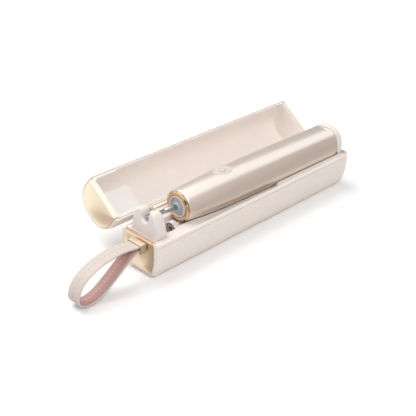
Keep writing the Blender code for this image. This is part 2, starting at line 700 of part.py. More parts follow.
def make_end_rest(finish, parent):
    """The arch behind the handle's end, hollowed from behind for the charging coil."""
    high = REST_BACK_X
    low = high - REST_THICKNESS
    axis_z = NOSE_Z - BODY_LENGTH * math.sin(HANDLE_TILT)
    half = BODY_RADIUS + REST_MARGIN
    foot = DECK_Z + DECK_BELOW_RIM + LIP_ABOVE_RIM + SEAT_GAP
    ring = super_ring(0, half, END_EXPONENT)
    outline = [(y, axis_z + z) for _, y, z in ring if axis_z + z > foot + REST_FOOT]
    outline.sort(key=lambda p: math.atan2(p[1] - foot, p[0]))
    outline = [(half, foot), *outline, (-half, foot)]
    made = prism("end_rest", outline, low, high, finish, parent)
    bevel_edges(made, REST_EDGE)
    coil_z = foot + REST_EDGE + SEAT_GAP + CHARGE_COIL_RADIUS
    seat = group("charge_coil_seat", (high, 0, coil_z), parent=parent)
    pocket_depth = CHARGE_COIL_DEPTH + 2 * SEAT_GAP
    pocket = rod("coil_pocket", -pocket_depth, CUT_MARGIN, CHARGE_COIL_RADIUS + SEAT_GAP, None, seat)
    combine(made, pocket, "DIFFERENCE")
    return seat


def bezier(start, pull, push, end, count):
    """Points of a cubic curve from start up to, but not including, its end."""
    t = np.linspace(0, 1, count, endpoint=False)[:, None]
    u = 1 - t
    guides = [np.array(p) for p in (start, pull, push, end)]
    return u**3 * guides[0] + 3 * u**2 * t * guides[1] + 3 * u * t**2 * guides[2] + t**3 * guides[3]


def strap_line():
    """Centre line of the strap in (x, z): a teardrop loop that leaves the bracket, falls and comes back.

    The upper strand bows up from the bracket, the far bend turns down to the surface that the case
    stands on, and the lower strand climbs back in a shallow curve.
    """
    start_x = -HALF_LENGTH - CAP_BULGE - BRACKET_DEPTH / 2
    mouth_x = start_x - BRACKET_DEPTH / 2 - STRAP_LEATHER
    tuck = BRACKET_WALL + SEAT_GAP + STRAP_LEATHER / 2
    upper = (mouth_x, BRACKET_TOP - tuck)
    lower = (mouth_x, BRACKET_TOP - BRACKET_HEIGHT + tuck)
    far = (start_x - STRAP_REACH, STRAP_BEND_HEIGHT)
    floor = (far[0] + STRAP_BEND_RUN, STRAP_LEATHER)
    fall = (far[0], far[1] + STRAP_FALL_PULL)
    sink = (far[0], far[1] - STRAP_BEND_PULL)
    upper_pull = (mouth_x - STRAP_UPPER_PULL, upper[1] + STRAP_UPPER_LIFT)
    lower_pull = (mouth_x - STRAP_LOWER_PULL, lower[1] - STRAP_LOWER_DROP)
    before = (floor[0] - STRAP_BEND_PULL, floor[1])
    after = (floor[0] + STRAP_FLOOR_PULL, floor[1])
    strands = [
        [(start_x, upper[1])],
        bezier(upper, upper_pull, fall, far, STRAP_STATIONS),
        bezier(far, sink, before, floor, STRAP_STATIONS // 2),
        bezier(floor, after, lower_pull, lower, STRAP_STATIONS),
        [lower, (start_x, lower[1])],
    ]
    return np.concatenate(strands)


def strap_layer(name, inner, outer, width, finish, parent, trim=0):
    """One flat layer of the strap between two distances outside its centre line, cut short at both ends."""
    line = strap_line()
    along = np.gradient(line, axis=0)
    along /= np.linalg.norm(along, axis=1)[:, None]
    outward = np.stack([along[:, 1], -along[:, 0]], -1)
    y0, y1 = STRAP_CENTRE_Y - width / 2, STRAP_CENTRE_Y + width / 2
    rings = []
    for point, out in list(zip(line, outward))[trim : len(line) - trim]:
        (x0, z0), (x1, z1) = point + out * inner, point + out * outer
        rings.append([(x0, y0, z0), (x0, y1, z0), (x1, y1, z1), (x1, y0, z1)])
    return loft(name, rings, finish, parent)


def make_strap(finishes, parent):
    """Bracket, pin and the two layers of the strap."""
    low = -HALF_LENGTH + CAP_EDGE_SETBACK - CAP_BULGE - SEAT_GAP - BRACKET_DEPTH
    high = low + BRACKET_DEPTH
    y0, y1 = STRAP_CENTRE_Y - BRACKET_WIDTH / 2, STRAP_CENTRE_Y + BRACKET_WIDTH / 2
    bottom = BRACKET_TOP - BRACKET_HEIGHT
    bracket = block("strap_bracket", (low, y0, bottom), (high, y1, BRACKET_TOP), finishes["rose"], parent)
    slot_low = (low - CUT_MARGIN, y0 + BRACKET_WALL, bottom + BRACKET_WALL)
    slot_high = (high - BRACKET_WALL, y1 - BRACKET_WALL, BRACKET_TOP - BRACKET_WALL)
    combine(bracket, block("strap_slot", slot_low, slot_high, None, parent), "DIFFERENCE")
    half = STRAP_LEATHER / 2
    strap_layer("wrist_strap", -half, half, STRAP_WIDTH, finishes["leather"], parent)
    inner = -half - SEAT_GAP
    lining = (inner - STRAP_LINING, inner, STRAP_LINING_WIDTH)
    strap_layer("strap_lining", *lining, finishes["mauve"], parent, trim=2)
    pin_z = bottom + BRACKET_HEIGHT / 2
    pin_x = (low + high) / 2
    reach = BRACKET_WIDTH / 2 - BRACKET_WALL - SEAT_GAP
    circle = arc(pin_x, pin_z, STRAP_PIN_RADIUS, 0, 360, PIN_STEPS)[:-1]
    ends = (STRAP_CENTRE_Y - reach, STRAP_CENTRE_Y + reach)
    loft("strap_pin", [[(x, y, z) for x, z in circle] for y in ends], finishes["steel"], parent)


def hinge_leaf(name, sign, knuckles, finish, parent):
    """A rolled hinge leaf about the parent's origin: a flat sheet against the case with curled knuckles."""
    bore = HINGE_PIN_RADIUS + HINGE_BORE_GAP
    outer = bore + HINGE_SHEET
    sheet_y = -HINGE_SETBACK + SEAT_GAP
    half = HINGE_LENGTH / 2
    low, high = sorted((sign * (outer + SEAT_GAP), sign * (outer + HINGE_LEAF_HEIGHT)))
    leaf = block(name, (-half, sheet_y, low), (half, sheet_y + HINGE_SHEET, high), finish, parent)
    pitch = HINGE_LENGTH / HINGE_KNUCKLES
    start, end = 180 - sign * HINGE_CURL_START, 180 - sign * HINGE_CURL_END
    curl = arc(0, 0, outer, start, end, PIN_STEPS) + arc(0, 0, bore, end, start, PIN_STEPS)
    web_low, web_high = sorted((sign * HINGE_WEB / 2, sign * (outer + SEAT_GAP + HINGE_WEB)))
    for k in knuckles:
        x0 = -half + k * pitch + SEAT_GAP / 2
        x1 = x0 + pitch - SEAT_GAP
        roll = prism(f"{name}_curl_{k}", curl, x0, x1, None, parent)
        corners = (x0, sheet_y, web_low), (x1, sheet_y + HINGE_WEB, web_high)
        web = block(f"{name}_web_{k}", *corners, None, parent)
        combine(leaf, web, "UNION")
        combine(leaf, roll, "UNION")
    return leaf


def make_base(finishes):
    """The fixed half of the case with everything that stays in it."""
    base = group("case_base")
    section = (BASE_HEIGHT, BASE_BEND, BASE_END_BAND)
    leather_wrap("base_wrap", *section, BASE_LEATHER, base_frame, finishes["leather"], base)
    walls = (SHELL_TOP, BASE_BEND, SHELL_OFFSET, SHELL_INNER, SHELL_WALL)
    shell = open_box("base_shell", *walls, base_frame, finishes["white"], base)
    for side, end in ((-1, "strap"), (1, "port")):
        cap = pillow_cap(f"base_end_cap_{end}", side, *section, base_frame, finishes["gold"], base)
        magnet(f"base_magnet_{end}", side, BASE_HEIGHT, -1, cap, finishes["steel"], base)
    make_tray(finishes["white"], base)
    make_cradle(finishes["white"], base)
    seat = make_end_rest(finishes["white"], base)
    coil = (-CHARGE_COIL_DEPTH - SEAT_GAP, -SEAT_GAP, CHARGE_COIL_BORE, CHARGE_COIL_RADIUS)
    tube("charge_coil", *coil, finishes["copper"], seat, FINE_STEPS)
    make_charger(shell, cap, finishes, base)
    make_strap(finishes, base)
    hinge = group("hinge_line", (0, HINGE_Y, HINGE_Z), parent=base)
    hinge_leaf("hinge_base_leaf", -1, range(0, HINGE_KNUCKLES, 2), finishes["rose"], hinge)
    reach = HINGE_LENGTH / 2
    rod("hinge_pin", -reach, reach, HINGE_PIN_RADIUS, finishes["steel"], hinge, PIN_STEPS)


def rounded_slot(width, height, centre_z, grow=0.0):
    """A flat oval outline in (y, z)."""
    half = height / 2 + grow
    run = width / 2 - height / 2
    right = arc(run, centre_z, half, -90, 90, CORNER_STEPS)
    return right + arc(-run, centre_z, half, 90, 270, CORNER_STEPS)


def make_charger(shell, cap, finishes, base):
    """The charging board on the shell's floor and the socket that opens through the end cap."""
    floor = SHELL_INNER + SEAT_GAP
    end = INSIDE_X - SHELL_WALL - SEAT_GAP
    low = (end - BOARD_LENGTH, -BOARD_WIDTH / 2, floor)
    block("charge_board", low, (end, BOARD_WIDTH / 2, floor + BOARD_THICKNESS), finishes["board"], base)
    centre_z = floor + BOARD_THICKNESS + SEAT_GAP + SOCKET_HEIGHT / 2
    mouth = HALF_LENGTH - CAP_EDGE_SETBACK - SOCKET_RECESS
    oval = (SOCKET_WIDTH, SOCKET_HEIGHT, centre_z)
    outside, inside = rounded_slot(*oval), rounded_slot(*oval, -SOCKET_WALL)
    back = mouth - SOCKET_LENGTH
    rings = [
        [(back, y, z) for y, z in outside],
        [(mouth, y, z) for y, z in outside],
        [(mouth, y, z) for y, z in inside],
        [(back + 2 * SOCKET_WALL, y, z) for y, z in inside],
    ]
    loft("port_socket", rings, finishes["steel"], base)
    hole = rounded_slot(*oval, SEAT_GAP)
    passage = prism("port_passage", hole, back, HALF_LENGTH + CAP_BULGE + CUT_MARGIN, None, base)
    combine(shell, passage, "DIFFERENCE")
    combine(cap, passage, "DIFFERENCE")


def make_lid(finishes):
    """The lid, modelled shut about the hinge line and swung open."""
    lid = group("lid", (0, HINGE_Y, HINGE_Z), (-LID_OPEN_ANGLE, 0, 0))
    height = LID_HEIGHT - RIM_GAP

    def place(point):
        y, z = lid_frame(point)
        return y - HINGE_Y, z - HINGE_Z

    section = (height, LID_BEND, LID_END_BAND)
    leather_wrap("lid_wrap", *section, LID_LEATHER, place, finishes["leather"], lid)
    pad = (LINER_PAD_LENGTH, LINER_PAD)
    walls = (height, LID_BEND, LINER_OFFSET, LINER_INNER, LINER_END_WALL)
    open_box("lid_liner", *walls, place, finishes["white"], lid, pad)
    shut = group("lid_shut_frame", (0, -HINGE_Y, -HINGE_Z), parent=lid)
    for side, end in ((-1, "strap"), (1, "port")):
        cap = pillow_cap(f"lid_end_cap_{end}", side, *section, lid_frame, finishes["gold"], shut)
        magnet(f"lid_magnet_{end}", side, LID_RIM_Z, 1, cap, finishes["steel"], shut)
    hinge_leaf("hinge_lid_leaf", 1, range(1, HINGE_KNUCKLES, 2), finishes["rose"], lid)


def make_housing(finish, handle):
    """The handle's tube, open at both ends, swelling from a round nose to a soft square end."""
    rear = BODY_LENGTH - END_CAP_PLATE - GASKET_THICKNESS - 2 * SEAT_GAP
    nose_x = BODY_FRONT + np.linspace(0, 1, NOSE_RINGS) ** NOSE_EXPONENT * NOSE_TAPER
    outer_x = np.concatenate([nose_x, np.linspace(nose_x[-1], rear, BODY_RINGS + 1)[1:]])
    seat = NOSE_SPIGOT_END + SEAT_GAP
    inner_x = [x for x in outer_x if x > seat + BODY_WALL]
    front = NOSE_SPIGOT_RADIUS + SEAT_GAP
    rings = [body_ring(x) for x in outer_x]
    rings += [body_ring(x, BODY_WALL) for x in inner_x[::-1]]
    rings += [super_ring(seat, front, NOSE_EXPONENT), super_ring(BODY_FRONT, front, NOSE_EXPONENT)]
    return loft("handle_housing", rings, finish, handle, closed_rows=True), rear


def egg(grow=0.0):
    """Outline of the button panel in (x, y), a little fuller towards the handle's end."""
    half_x, half_y = PANEL_HALF_LENGTH + grow, PANEL_HALF_WIDTH + grow
    circle = arc(0, 0, 1, 0, 360, BUTTON_STEPS)[:-1]
    return [(BUTTON_X + half_x * c, half_y * s * (1 + PANEL_EGG * c)) for c, s in circle]


def make_button(housing, finishes, handle):
    """The soft panel let into the housing, with the round button through its middle."""
    cutter = upright("panel_cut", egg(SEAT_GAP), BODY_RADIUS / 2, BODY_RADIUS + CUT_MARGIN, None, handle)
    combine(housing, cutter, "DIFFERENCE")
    hole = arc(BUTTON_X, 0, BUTTON_RADIUS + SEAT_GAP, 0, 360, BUTTON_STEPS)[:-1]
    under = PANEL_PROUD - BODY_WALL
    rings = []
    for outline, lift in ((hole, under), (hole, PANEL_PROUD), (egg(), PANEL_PROUD), (egg(), under)):
        rings.append([(x, y, body_top(x, y, lift)) for x, y in outline])
    loft("button_panel", rings, finishes["panel"], handle, closed_rows=True)
    board_top = MAIN_BOARD_HEIGHT + MAIN_BOARD_THICKNESS
    surface = body_top(BUTTON_X, 0)
    skirt = surface - BODY_WALL
    plunger = skirt - BUTTON_STEM
    switch_top = plunger - BUTTON_TRAVEL - SEAT_GAP
    half = SWITCH_SIDE / 2
    low = (BUTTON_X - half, -half, board_top + SEAT_GAP)
    switch = block("button_switch", low, (BUTTON_X + half, half, switch_top), finishes["black"], handle)
    bevel_edges(switch, SWITCH_EDGE, 1)
    seat = group("button_line", (BUTTON_X, 0, 0), parent=handle)
    crown = surface + BUTTON_PROUD
    dish = crown - BUTTON_DISH_DEPTH
    levels = [
        (plunger, BUTTON_STEM_SHARE),
        (skirt, BUTTON_STEM_SHARE),
        (skirt, 1),
        (dish, 1),
        (crown, BUTTON_RIM_SHARE),
        (crown, BUTTON_DISH_SHARE),
        (dish, BUTTON_STEM_SHARE),
    ]
    circles = [(z, arc(0, 0, BUTTON_RADIUS * r, 0, 360, BUTTON_STEPS)[:-1]) for z, r in levels]
    loft("power_button", [[(x, y, z) for x, y in ring] for z, ring in circles], finishes["panel"], seat)


def make_nose(finishes, handle):
    """The polished ring, the cream collar in it and the rubber seal round the shaft."""
    ring = [
        (0, NOSE_RING_BORE),
        (0, NOSE_RING_FACE),
        (NOSE_RING_CHAMFER, NOSE_RING_RADIUS),
        (NOSE_RING_DEPTH, NOSE_RING_RADIUS),
        (NOSE_RING_DEPTH, NOSE_SPIGOT_RADIUS),
        (NOSE_SPIGOT_END, NOSE_SPIGOT_RADIUS),
        (NOSE_SPIGOT_END, NOSE_RING_BORE),
    ]
    turned("nose_ring", ring, finishes["rose"], handle)
    collar_radius = NOSE_RING_BORE - SEAT_GAP
    collar_bore = collar_radius - NOSE_COLLAR_WALL
    collar = (-NOSE_COLLAR_PROUD, NOSE_SPIGOT_END, collar_bore, collar_radius)
    tube("nose_collar", *collar, finishes["white"], handle)
    bore = SHAFT_RADIUS + 2 * SEAT_GAP
    seal_radius = collar_bore - SEAT_GAP
    seal = [
        (-SEAL_LIP, bore),
        (-SEAL_LIP, bore + SEAL_LIP_WALL),
        (SEAL_SINK, bore + SEAL_CONE_FOOT),
        (SEAL_SINK, seal_radius),
        (SEAL_THICKNESS, seal_radius),
        (SEAL_THICKNESS, bore),
    ]
    turned("shaft_seal", seal, finishes["grey"], handle)


def make_drive(finishes, handle):
    """The motor on its leaning line, and the shaft with its rotor, which swing together."""
    line = group("drive_line", rotation=(0, SHAFT_LEAN, 0), parent=handle)
    bore = BEARING_RADIUS + SEAT_GAP
    inner = MOTOR_RADIUS - MOTOR_WALL
    wall = BEARING_WIDTH + SEAT_GAP
    frame = [
        (MOTOR_FRONT, bore),
        (MOTOR_FRONT, MOTOR_RADIUS),
        (MOTOR_REAR, MOTOR_RADIUS),
        (MOTOR_REAR, bore),
        (MOTOR_REAR - wall, bore),
        (MOTOR_REAR - wall, inner),
        (MOTOR_FRONT + wall, inner),
        (MOTOR_FRONT + wall, bore),
    ]
    turned("motor_frame", frame, finishes["steel"], line)
    shaft_gap = SHAFT_RADIUS + SEAT_GAP
    for name, x in (("front_bearing", MOTOR_FRONT), ("rear_bearing", MOTOR_REAR - BEARING_WIDTH)):
        tube(name, x, x + BEARING_WIDTH, shaft_gap, BEARING_RADIUS, finishes["bronze"], line, FINE_STEPS)
    middle = (MOTOR_FRONT + MOTOR_REAR) / 2
    low, high = middle - STATOR_LENGTH / 2, middle + STATOR_LENGTH / 2
    stator_bore = ROTOR_RADIUS + SEAT_GAP
    tube("stator_core", low, high, stator_bore, inner - SEAT_GAP, finishes["steel"], line, FINE_STEPS)
    coil_radii = (stator_bore + SEAT_GAP, inner - 2 * SEAT_GAP)
    for name, start in (("coil_front", low - SEAT_GAP - COIL_LENGTH), ("coil_rear", high + SEAT_GAP)):
        tube(name, start, start + COIL_LENGTH, *coil_radii, finishes["copper"], line, FINE_STEPS)
    tube("rotor", low, high, shaft_gap, ROTOR_RADIUS, finishes["grey"], line, FINE_STEPS)
    circle = arc(0, 0, 1, 0, 360, FINE_STEPS)[:-1]
    flat_end = -SHAFT_REACH + SHAFT_FLAT_LENGTH
    levels = [
        (-SHAFT_REACH, SHAFT_RADIUS - SHAFT_CHAMFER, SHAFT_FLAT_HEIGHT),
        (-SHAFT_REACH + SHAFT_CHAMFER, SHAFT_RADIUS, SHAFT_FLAT_HEIGHT),
        (flat_end, SHAFT_RADIUS, SHAFT_FLAT_HEIGHT),
        (flat_end + SHAFT_CHAMFER, SHAFT_RADIUS, SHAFT_RADIUS),
        (MOTOR_REAR, SHAFT_RADIUS, SHAFT_RADIUS),
    ]
    rings = [[(x, r * c, min(r * s, flat)) for c, s in circle] for x, r, flat in levels]
    loft("drive_shaft", rings, finishes["chrome"], line)


def make_power(finishes, handle):
    """Battery in its carrier, with the main board across the carrier's top."""
    axis = group("battery_line", (0, 0, -BATTERY_DROP), parent=handle)
    back = BATTERY_FRONT + BATTERY_LENGTH
    nub_x = BATTERY_FRONT - BATTERY_NUB_LENGTH
    profile = [(nub_x, BATTERY_NUB_RADIUS), (BATTERY_FRONT, BATTERY_NUB_RADIUS)]
    profile += [(BATTERY_FRONT, BATTERY_RADIUS), (back, BATTERY_RADIUS)]
    turned("battery", profile, finishes["cell"], axis, FINE_STEPS, closed=False)
    inner = BATTERY_RADIUS + SEAT_GAP
    outer = inner + CARRIER_WALL
    wall_top = MAIN_BOARD_HEIGHT - SEAT_GAP + BATTERY_DROP
    cup = [(outer, wall_top), *arc(0, 0, outer, 0, -180, CARRIER_STEPS), (-outer, wall_top)]
    hollow = [(-inner, wall_top), *arc(0, 0, inner, -180, 0, CARRIER_STEPS), (inner, wall_top)]
    full = [(y, wall_top) for y, z in hollow]
    low, high = nub_x - SEAT_GAP, back + SEAT_GAP
    stations = [
        (low - CARRIER_WALL, full),
        (low, full),
        (low, hollow),
        (high, hollow),
        (high, full),
        (high + CARRIER_WALL, full),
    ]
    rings = [[(x, y, z) for y, z in cup + inside] for x, inside in stations]
    loft("battery_carrier", rings, finishes["grey"], axis)
    half = MAIN_BOARD_WIDTH / 2
    low_corner = (MAIN_BOARD_FRONT, -half, MAIN_BOARD_HEIGHT)
    board_end = BODY_LENGTH - MAIN_BOARD_BEFORE_END
    high_corner = (board_end, half, MAIN_BOARD_HEIGHT + MAIN_BOARD_THICKNESS)
    block("main_board", low_corner, high_corner, finishes["board"], handle)


def make_end(rear, finishes, handle):
    """The end cap with its spigot, the gasket under it and the charging pick-up coil."""
    plate = BODY_LENGTH - END_CAP_PLATE
    spigot = plate - END_CAP_SPIGOT
    floor = plate + END_CAP_FLOOR
    inset = BODY_WALL + SEAT_GAP
    levels = [(spigot, inset), (plate, inset), (plate, 0)]
    for t in np.linspace(0, math.pi / 2, CORNER_STEPS // 2 + 1):
        levels.append((BODY_LENGTH - END_CAP_FILLET * (1 - math.sin(t)), END_CAP_FILLET * (1 - math.cos(t))))
    levels.append((BODY_LENGTH, END_FACE_SHARE * BODY_RADIUS))
    cup = inset + END_CAP_WALL
    levels += [(floor, END_FACE_SHARE * BODY_RADIUS), (floor, cup), (spigot, cup)]
    rings = np.array([body_ring(x, depth) for x, depth in levels])
    columns = rings.shape[1]
    faces = loft_faces(len(levels), columns, closed_rows=True)
    face_row = len(levels) - 4
    faces = faces[: face_row * columns] + faces[(face_row + 1) * columns :]
    faces += [tuple(range(row * columns, (row + 1) * columns)) for row in (face_row, face_row + 1)]
    solid("end_cap", rings.reshape(-1, 3), faces, finishes["champagne"], handle)
    low, high = rear + SEAT_GAP, plate - SEAT_GAP
    inside = BODY_WALL - SEAT_GAP
    gasket = [(low, GASKET_INSET), (high, GASKET_INSET), (high, inside), (low, inside)]
    rings = [body_ring(x, depth) for x, depth in gasket]
    loft("end_cap_seal", rings, finishes["grey"], handle, closed_rows=True)
    back = floor - SEAT_GAP
    coil = (back - CHARGE_PICKUP_DEPTH, back, CHARGE_PICKUP_BORE, CHARGE_PICKUP_RADIUS)
    tube("handle_charge_coil", *coil, finishes["copper"], handle, FINE_STEPS)


def make_handle(finishes):
    """The handle, tilted so that its nose lies a little higher than its end."""
    handle = group("handle", (NOSE_X, 0, NOSE_Z), (0, HANDLE_TILT, 0))
    housing, rear = make_housing(finishes["champagne"], handle)
    make_button(housing, finishes, handle)
    make_nose(finishes, handle)
    make_drive(finishes, handle)
    make_power(finishes, handle)
    make_end(rear, finishes, handle)


def make_brush_head(finishes):
    """The spare brush head: collar, slim neck and a flat head with tufts underneath."""
    brush = group("brush_head", (BRUSH_X, 0, BRUSH_Z), (0, BRUSH_TILT, 0))
    head = BRUSH_LENGTH - BRUSH_HEAD_LENGTH
    thin = BRUSH_HEAD_HALF_THICKNESS
    face = BRUSH_COLLAR_RADIUS - BRUSH_COLLAR_CHAMFER
    flare = BRUSH_NECK_RADIUS + BRUSH_NECK_FLARE
    levels = [
        (0, face, face),
        (BRUSH_COLLAR_CHAMFER, BRUSH_COLLAR_RADIUS, BRUSH_COLLAR_RADIUS),
        (BRUSH_COLLAR_LENGTH, BRUSH_COLLAR_RADIUS, BRUSH_COLLAR_RADIUS),
        (BRUSH_COLLAR_LENGTH + BRUSH_SHOULDER_LENGTH, BRUSH_SHOULDER_RADIUS, BRUSH_SHOULDER_RADIUS),
        (BRUSH_COLLAR_LENGTH + BRUSH_FLARE_LENGTH, flare, flare),
        (head - BRUSH_ROOT_LENGTH, BRUSH_NECK_RADIUS, BRUSH_NECK_RADIUS),
        (head, BRUSH_ROOT_HALF_WIDTH, thin),
    ]
    for share in np.linspace(0, 1, BRUSH_HEAD_STEPS + 1)[1:]:
        bow = math.sqrt(1 - (2 * share - 1) ** 4)
        wide = max(BRUSH_HEAD_HALF_WIDTH * bow, BRUSH_TIP_HALF_WIDTH)
        levels.append((head + share * BRUSH_HEAD_LENGTH, wide, max(thin * bow, thin / 2)))
    circle = arc(0, 0, 1, 0, 360, FINE_STEPS)[:-1]
    rings = [[(x, wide * c, tall * s) for c, s in circle] for x, wide, tall in levels]
    neck = loft("brush_neck", rings, finishes["white"], brush)
    hole = rod("brush_bore", -CUT_MARGIN, BRUSH_BORE_DEPTH, BRUSH_BORE, None, brush, FINE_STEPS)
    combine(neck, hole, "DIFFERENCE")
    insert = (BRUSH_INSERT_RECESS, BRUSH_BORE_DEPTH - SEAT_GAP, BRUSH_INSERT_BORE, BRUSH_BORE - SEAT_GAP)
    tube("brush_insert", *insert, finishes["black"], brush, FINE_STEPS)
    make_tufts(head, thin, finishes["bristle"], brush)


def make_tufts(head, thin, finish, brush):
    """A thin plate under the brush head with square tufts drawn down out of it."""
    start = head + (BRUSH_HEAD_LENGTH - TUFT_FIELD_LENGTH) / 2
    along = start + np.linspace(0, TUFT_FIELD_LENGTH, 2 * TUFT_ROWS + 2)
    across = np.linspace(-TUFT_FIELD_WIDTH / 2, TUFT_FIELD_WIDTH / 2, 2 * TUFT_COLUMNS + 2)
    top = -thin - SEAT_GAP
    low_corner = (along[0], across[0], top - TUFT_PLATE)
    plate = block("brush_bristles", low_corner, (along[-1], across[-1], top), finish, brush)
    work = bmesh.new()
    work.from_mesh(plate.data)
    for k in along[1:-1]:
        geometry = work.verts[:] + work.edges[:] + work.faces[:]
        bmesh.ops.bisect_plane(work, geom=geometry, plane_co=(k, 0, 0), plane_no=(1, 0, 0))
    for k in across[1:-1]:
        geometry = work.verts[:] + work.edges[:] + work.faces[:]
        bmesh.ops.bisect_plane(work, geom=geometry, plane_co=(0, k, 0), plane_no=(0, 1, 0))
    work.faces.ensure_lookup_table()
    chosen = []
    for face in work.faces:
        centre = face.calc_center_median()
        row = int(np.searchsorted(along, centre.x)) - 1
        column = int(np.searchsorted(across, centre.y)) - 1
        if face.normal.z < -0.9 and row % 2 == 1 and column % 2 == 1:
            chosen.append(face)
    grown = bmesh.ops.extrude_discrete_faces(work, faces=chosen)["faces"]
    for face in grown:
        bmesh.ops.translate(work, verts=face.verts[:], vec=(0, 0, -TUFT_HEIGHT))
    bmesh.ops.recalc_face_normals(work, faces=work.faces)
    work.to_mesh(plate.data)
    work.free()


def make_finishes():
    """One material for each stuff that the pieces are made of."""
    return {
        "leather": material("pebbled leather", "e8dad1", 0.6),
        "gold": material("satin gold cap", "e9d3b0", 0.35, 0.8),
        "rose": material("polished rose gold", "d8b48c", 0.2, 1.0),
        "white": material("moulded pale plastic", "f3eae5", 0.5),
        "champagne": material("satin champagne", "d9cdbf", 0.35, 0.6),
        "panel": material("soft button panel", "e9dfd2", 0.5),
        "mauve": material("mauve lining", "b8948f", 0.75),
        "grey": material("grey rubber", "b9bcbb", 0.6),
        "black": material("dark plastic", "4a4745", 0.5),
        "chrome": material("polished steel", "c8cacc", 0.12, 1.0),
        "steel": material("plain steel", "a9abad", 0.4, 1.0),
        "bronze": material("sintered bronze", "9c7a4e", 0.45, 1.0),
        "copper": material("enamelled copper", "b06a3c", 0.4, 0.8),
        "board": material("circuit board", "2f5d46", 0.6),
        "cell": material("cell sleeve", "5a6d8c", 0.5),
        "bristle": material("nylon bristle", "f4f6f6", 0.5),
    }


def main():
    clear_scene()
    finishes = make_finishes()
    make_base(finishes)
    make_lid(finishes)
    make_handle(finishes)
    make_brush_head(finishes)


main()
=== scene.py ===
"""Looks of a sonic toothbrush handle that lies in its open, leather-clad travel case.

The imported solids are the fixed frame. The pieces that show are worked out again here as fine surfaces in the
same places, and the pieces inside keep their solids and get a finish. The object's sizes are in millimetres,
and points turn to metres where a piece is placed. The studio's sizes are in metres.
X runs along the case with the strap at its low end, the hinge is on the +Y side and Z is up.
"""

from __future__ import annotations

import json
import logging
import math
from collections.abc import Callable, Sequence
from dataclasses import dataclass, field
from enum import Enum
from typing import ClassVar

import bmesh
import bpy
import numpy as np
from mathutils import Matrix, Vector

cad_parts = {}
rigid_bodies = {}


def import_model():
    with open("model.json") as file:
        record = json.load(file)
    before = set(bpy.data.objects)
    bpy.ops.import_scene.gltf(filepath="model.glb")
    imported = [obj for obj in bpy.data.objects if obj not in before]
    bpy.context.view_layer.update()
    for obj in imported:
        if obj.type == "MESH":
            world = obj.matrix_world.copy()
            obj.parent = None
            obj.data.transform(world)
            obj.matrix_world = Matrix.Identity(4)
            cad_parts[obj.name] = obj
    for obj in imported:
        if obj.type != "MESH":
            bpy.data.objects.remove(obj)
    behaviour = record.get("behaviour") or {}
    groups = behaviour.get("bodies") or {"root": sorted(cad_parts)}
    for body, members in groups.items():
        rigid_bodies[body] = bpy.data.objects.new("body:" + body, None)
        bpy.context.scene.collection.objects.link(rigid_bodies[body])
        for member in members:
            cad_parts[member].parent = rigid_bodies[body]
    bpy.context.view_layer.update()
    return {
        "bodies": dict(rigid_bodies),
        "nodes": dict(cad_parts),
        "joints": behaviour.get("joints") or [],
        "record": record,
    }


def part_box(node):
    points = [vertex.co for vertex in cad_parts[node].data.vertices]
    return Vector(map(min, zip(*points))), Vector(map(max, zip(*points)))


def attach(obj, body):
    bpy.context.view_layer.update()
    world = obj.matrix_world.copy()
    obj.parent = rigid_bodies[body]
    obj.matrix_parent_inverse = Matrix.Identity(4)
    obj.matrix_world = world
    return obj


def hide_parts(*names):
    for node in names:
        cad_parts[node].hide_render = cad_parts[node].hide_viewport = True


LOG = logging.getLogger("travel_case")
MM = 0.001
# Room between a piece and its seat, in millimetres.
SEAT_GAP = 0.3
Array = np.ndarray
Material = bpy.types.Material
Start = tuple[Material, bpy.types.NodeTree, bpy.types.Node, bpy.types.NodeSocket]
Spot = tuple[float, float, float]
Panel = tuple[Spot, float, float, float]
Card = tuple[Spot, Spot, Spot, str]


class Body(Enum):
    """The bodies that pieces ride on, by the record's names."""

    BASE = "case_base"
    LID = "lid"
    HANDLE = "handle"
    BUTTON = "button"
    DRIVE = "drive"
    BRUSH = "brush_head"


class Half(Enum):
    """The two halves of the case."""

    BASE = "base"
    LID = "lid"

    @property
    def body(self) -> Body:
        """The body of the half."""
        return Body[self.name]


class End(Enum):
    """The two ends of the case, with the sign of X at each."""

    STRAP = -1
    PORT = 1


def linear(code: str) -> tuple[float, float, float, float]:
    """Turns an sRGB hex colour into linear values.

    Args:
        code: six hex digits.

    Returns:
        Red, green, blue and an alpha of 1.
    """
    levels = [int(code[i : i + 2], 16) / 255 for i in (0, 2, 4)]
    red, green, blue = (c / 12.92 if c <= 0.04045 else ((c + 0.055) / 1.055) ** 2.4 for c in levels)
    return red, green, blue, 1.0


def blend(value: Array, low: float, high: float) -> Array:
    """Rises smoothly from 0 at low to 1 at high: s * s * (3 - 2 s).

    Args:
        value: where the rise is wanted.
        low: end of the zeros.
        high: start of the ones.

    Returns:
        The share at each value.
    """
    share = np.clip((value - low) / (high - low), 0, 1)
    return share * share * (3 - 2 * share)


def full_turn(count: int) -> Array:
    """Gives even angles once round, without the last, which is the first again."""
    return np.linspace(0, 2 * math.pi, count, endpoint=False)


def unit(angles: Array) -> Array:
    """Gives the points (cos a, sin a) of the unit circle."""
    return np.stack([np.cos(angles), np.sin(angles)], -1)


def rectangle(low: Sequence[float], high: Sequence[float]) -> Array:
    """Gives the corners of a rectangle in order from its low corner."""
    return np.array([low, (high[0], low[1]), high, (low[0], high[1])])


def carried(x: Array, rings: Array) -> Array:
    """Puts each (y, z) ring at its own x.

    Args:
        x: place of each ring.
        rings: points as rings, columns and 2.

    Returns:
        Points as rings, columns and 3.
    """
    return np.concatenate([np.broadcast_to(x[:, None, None], (*rings.shape[:2], 1)), rings], -1)


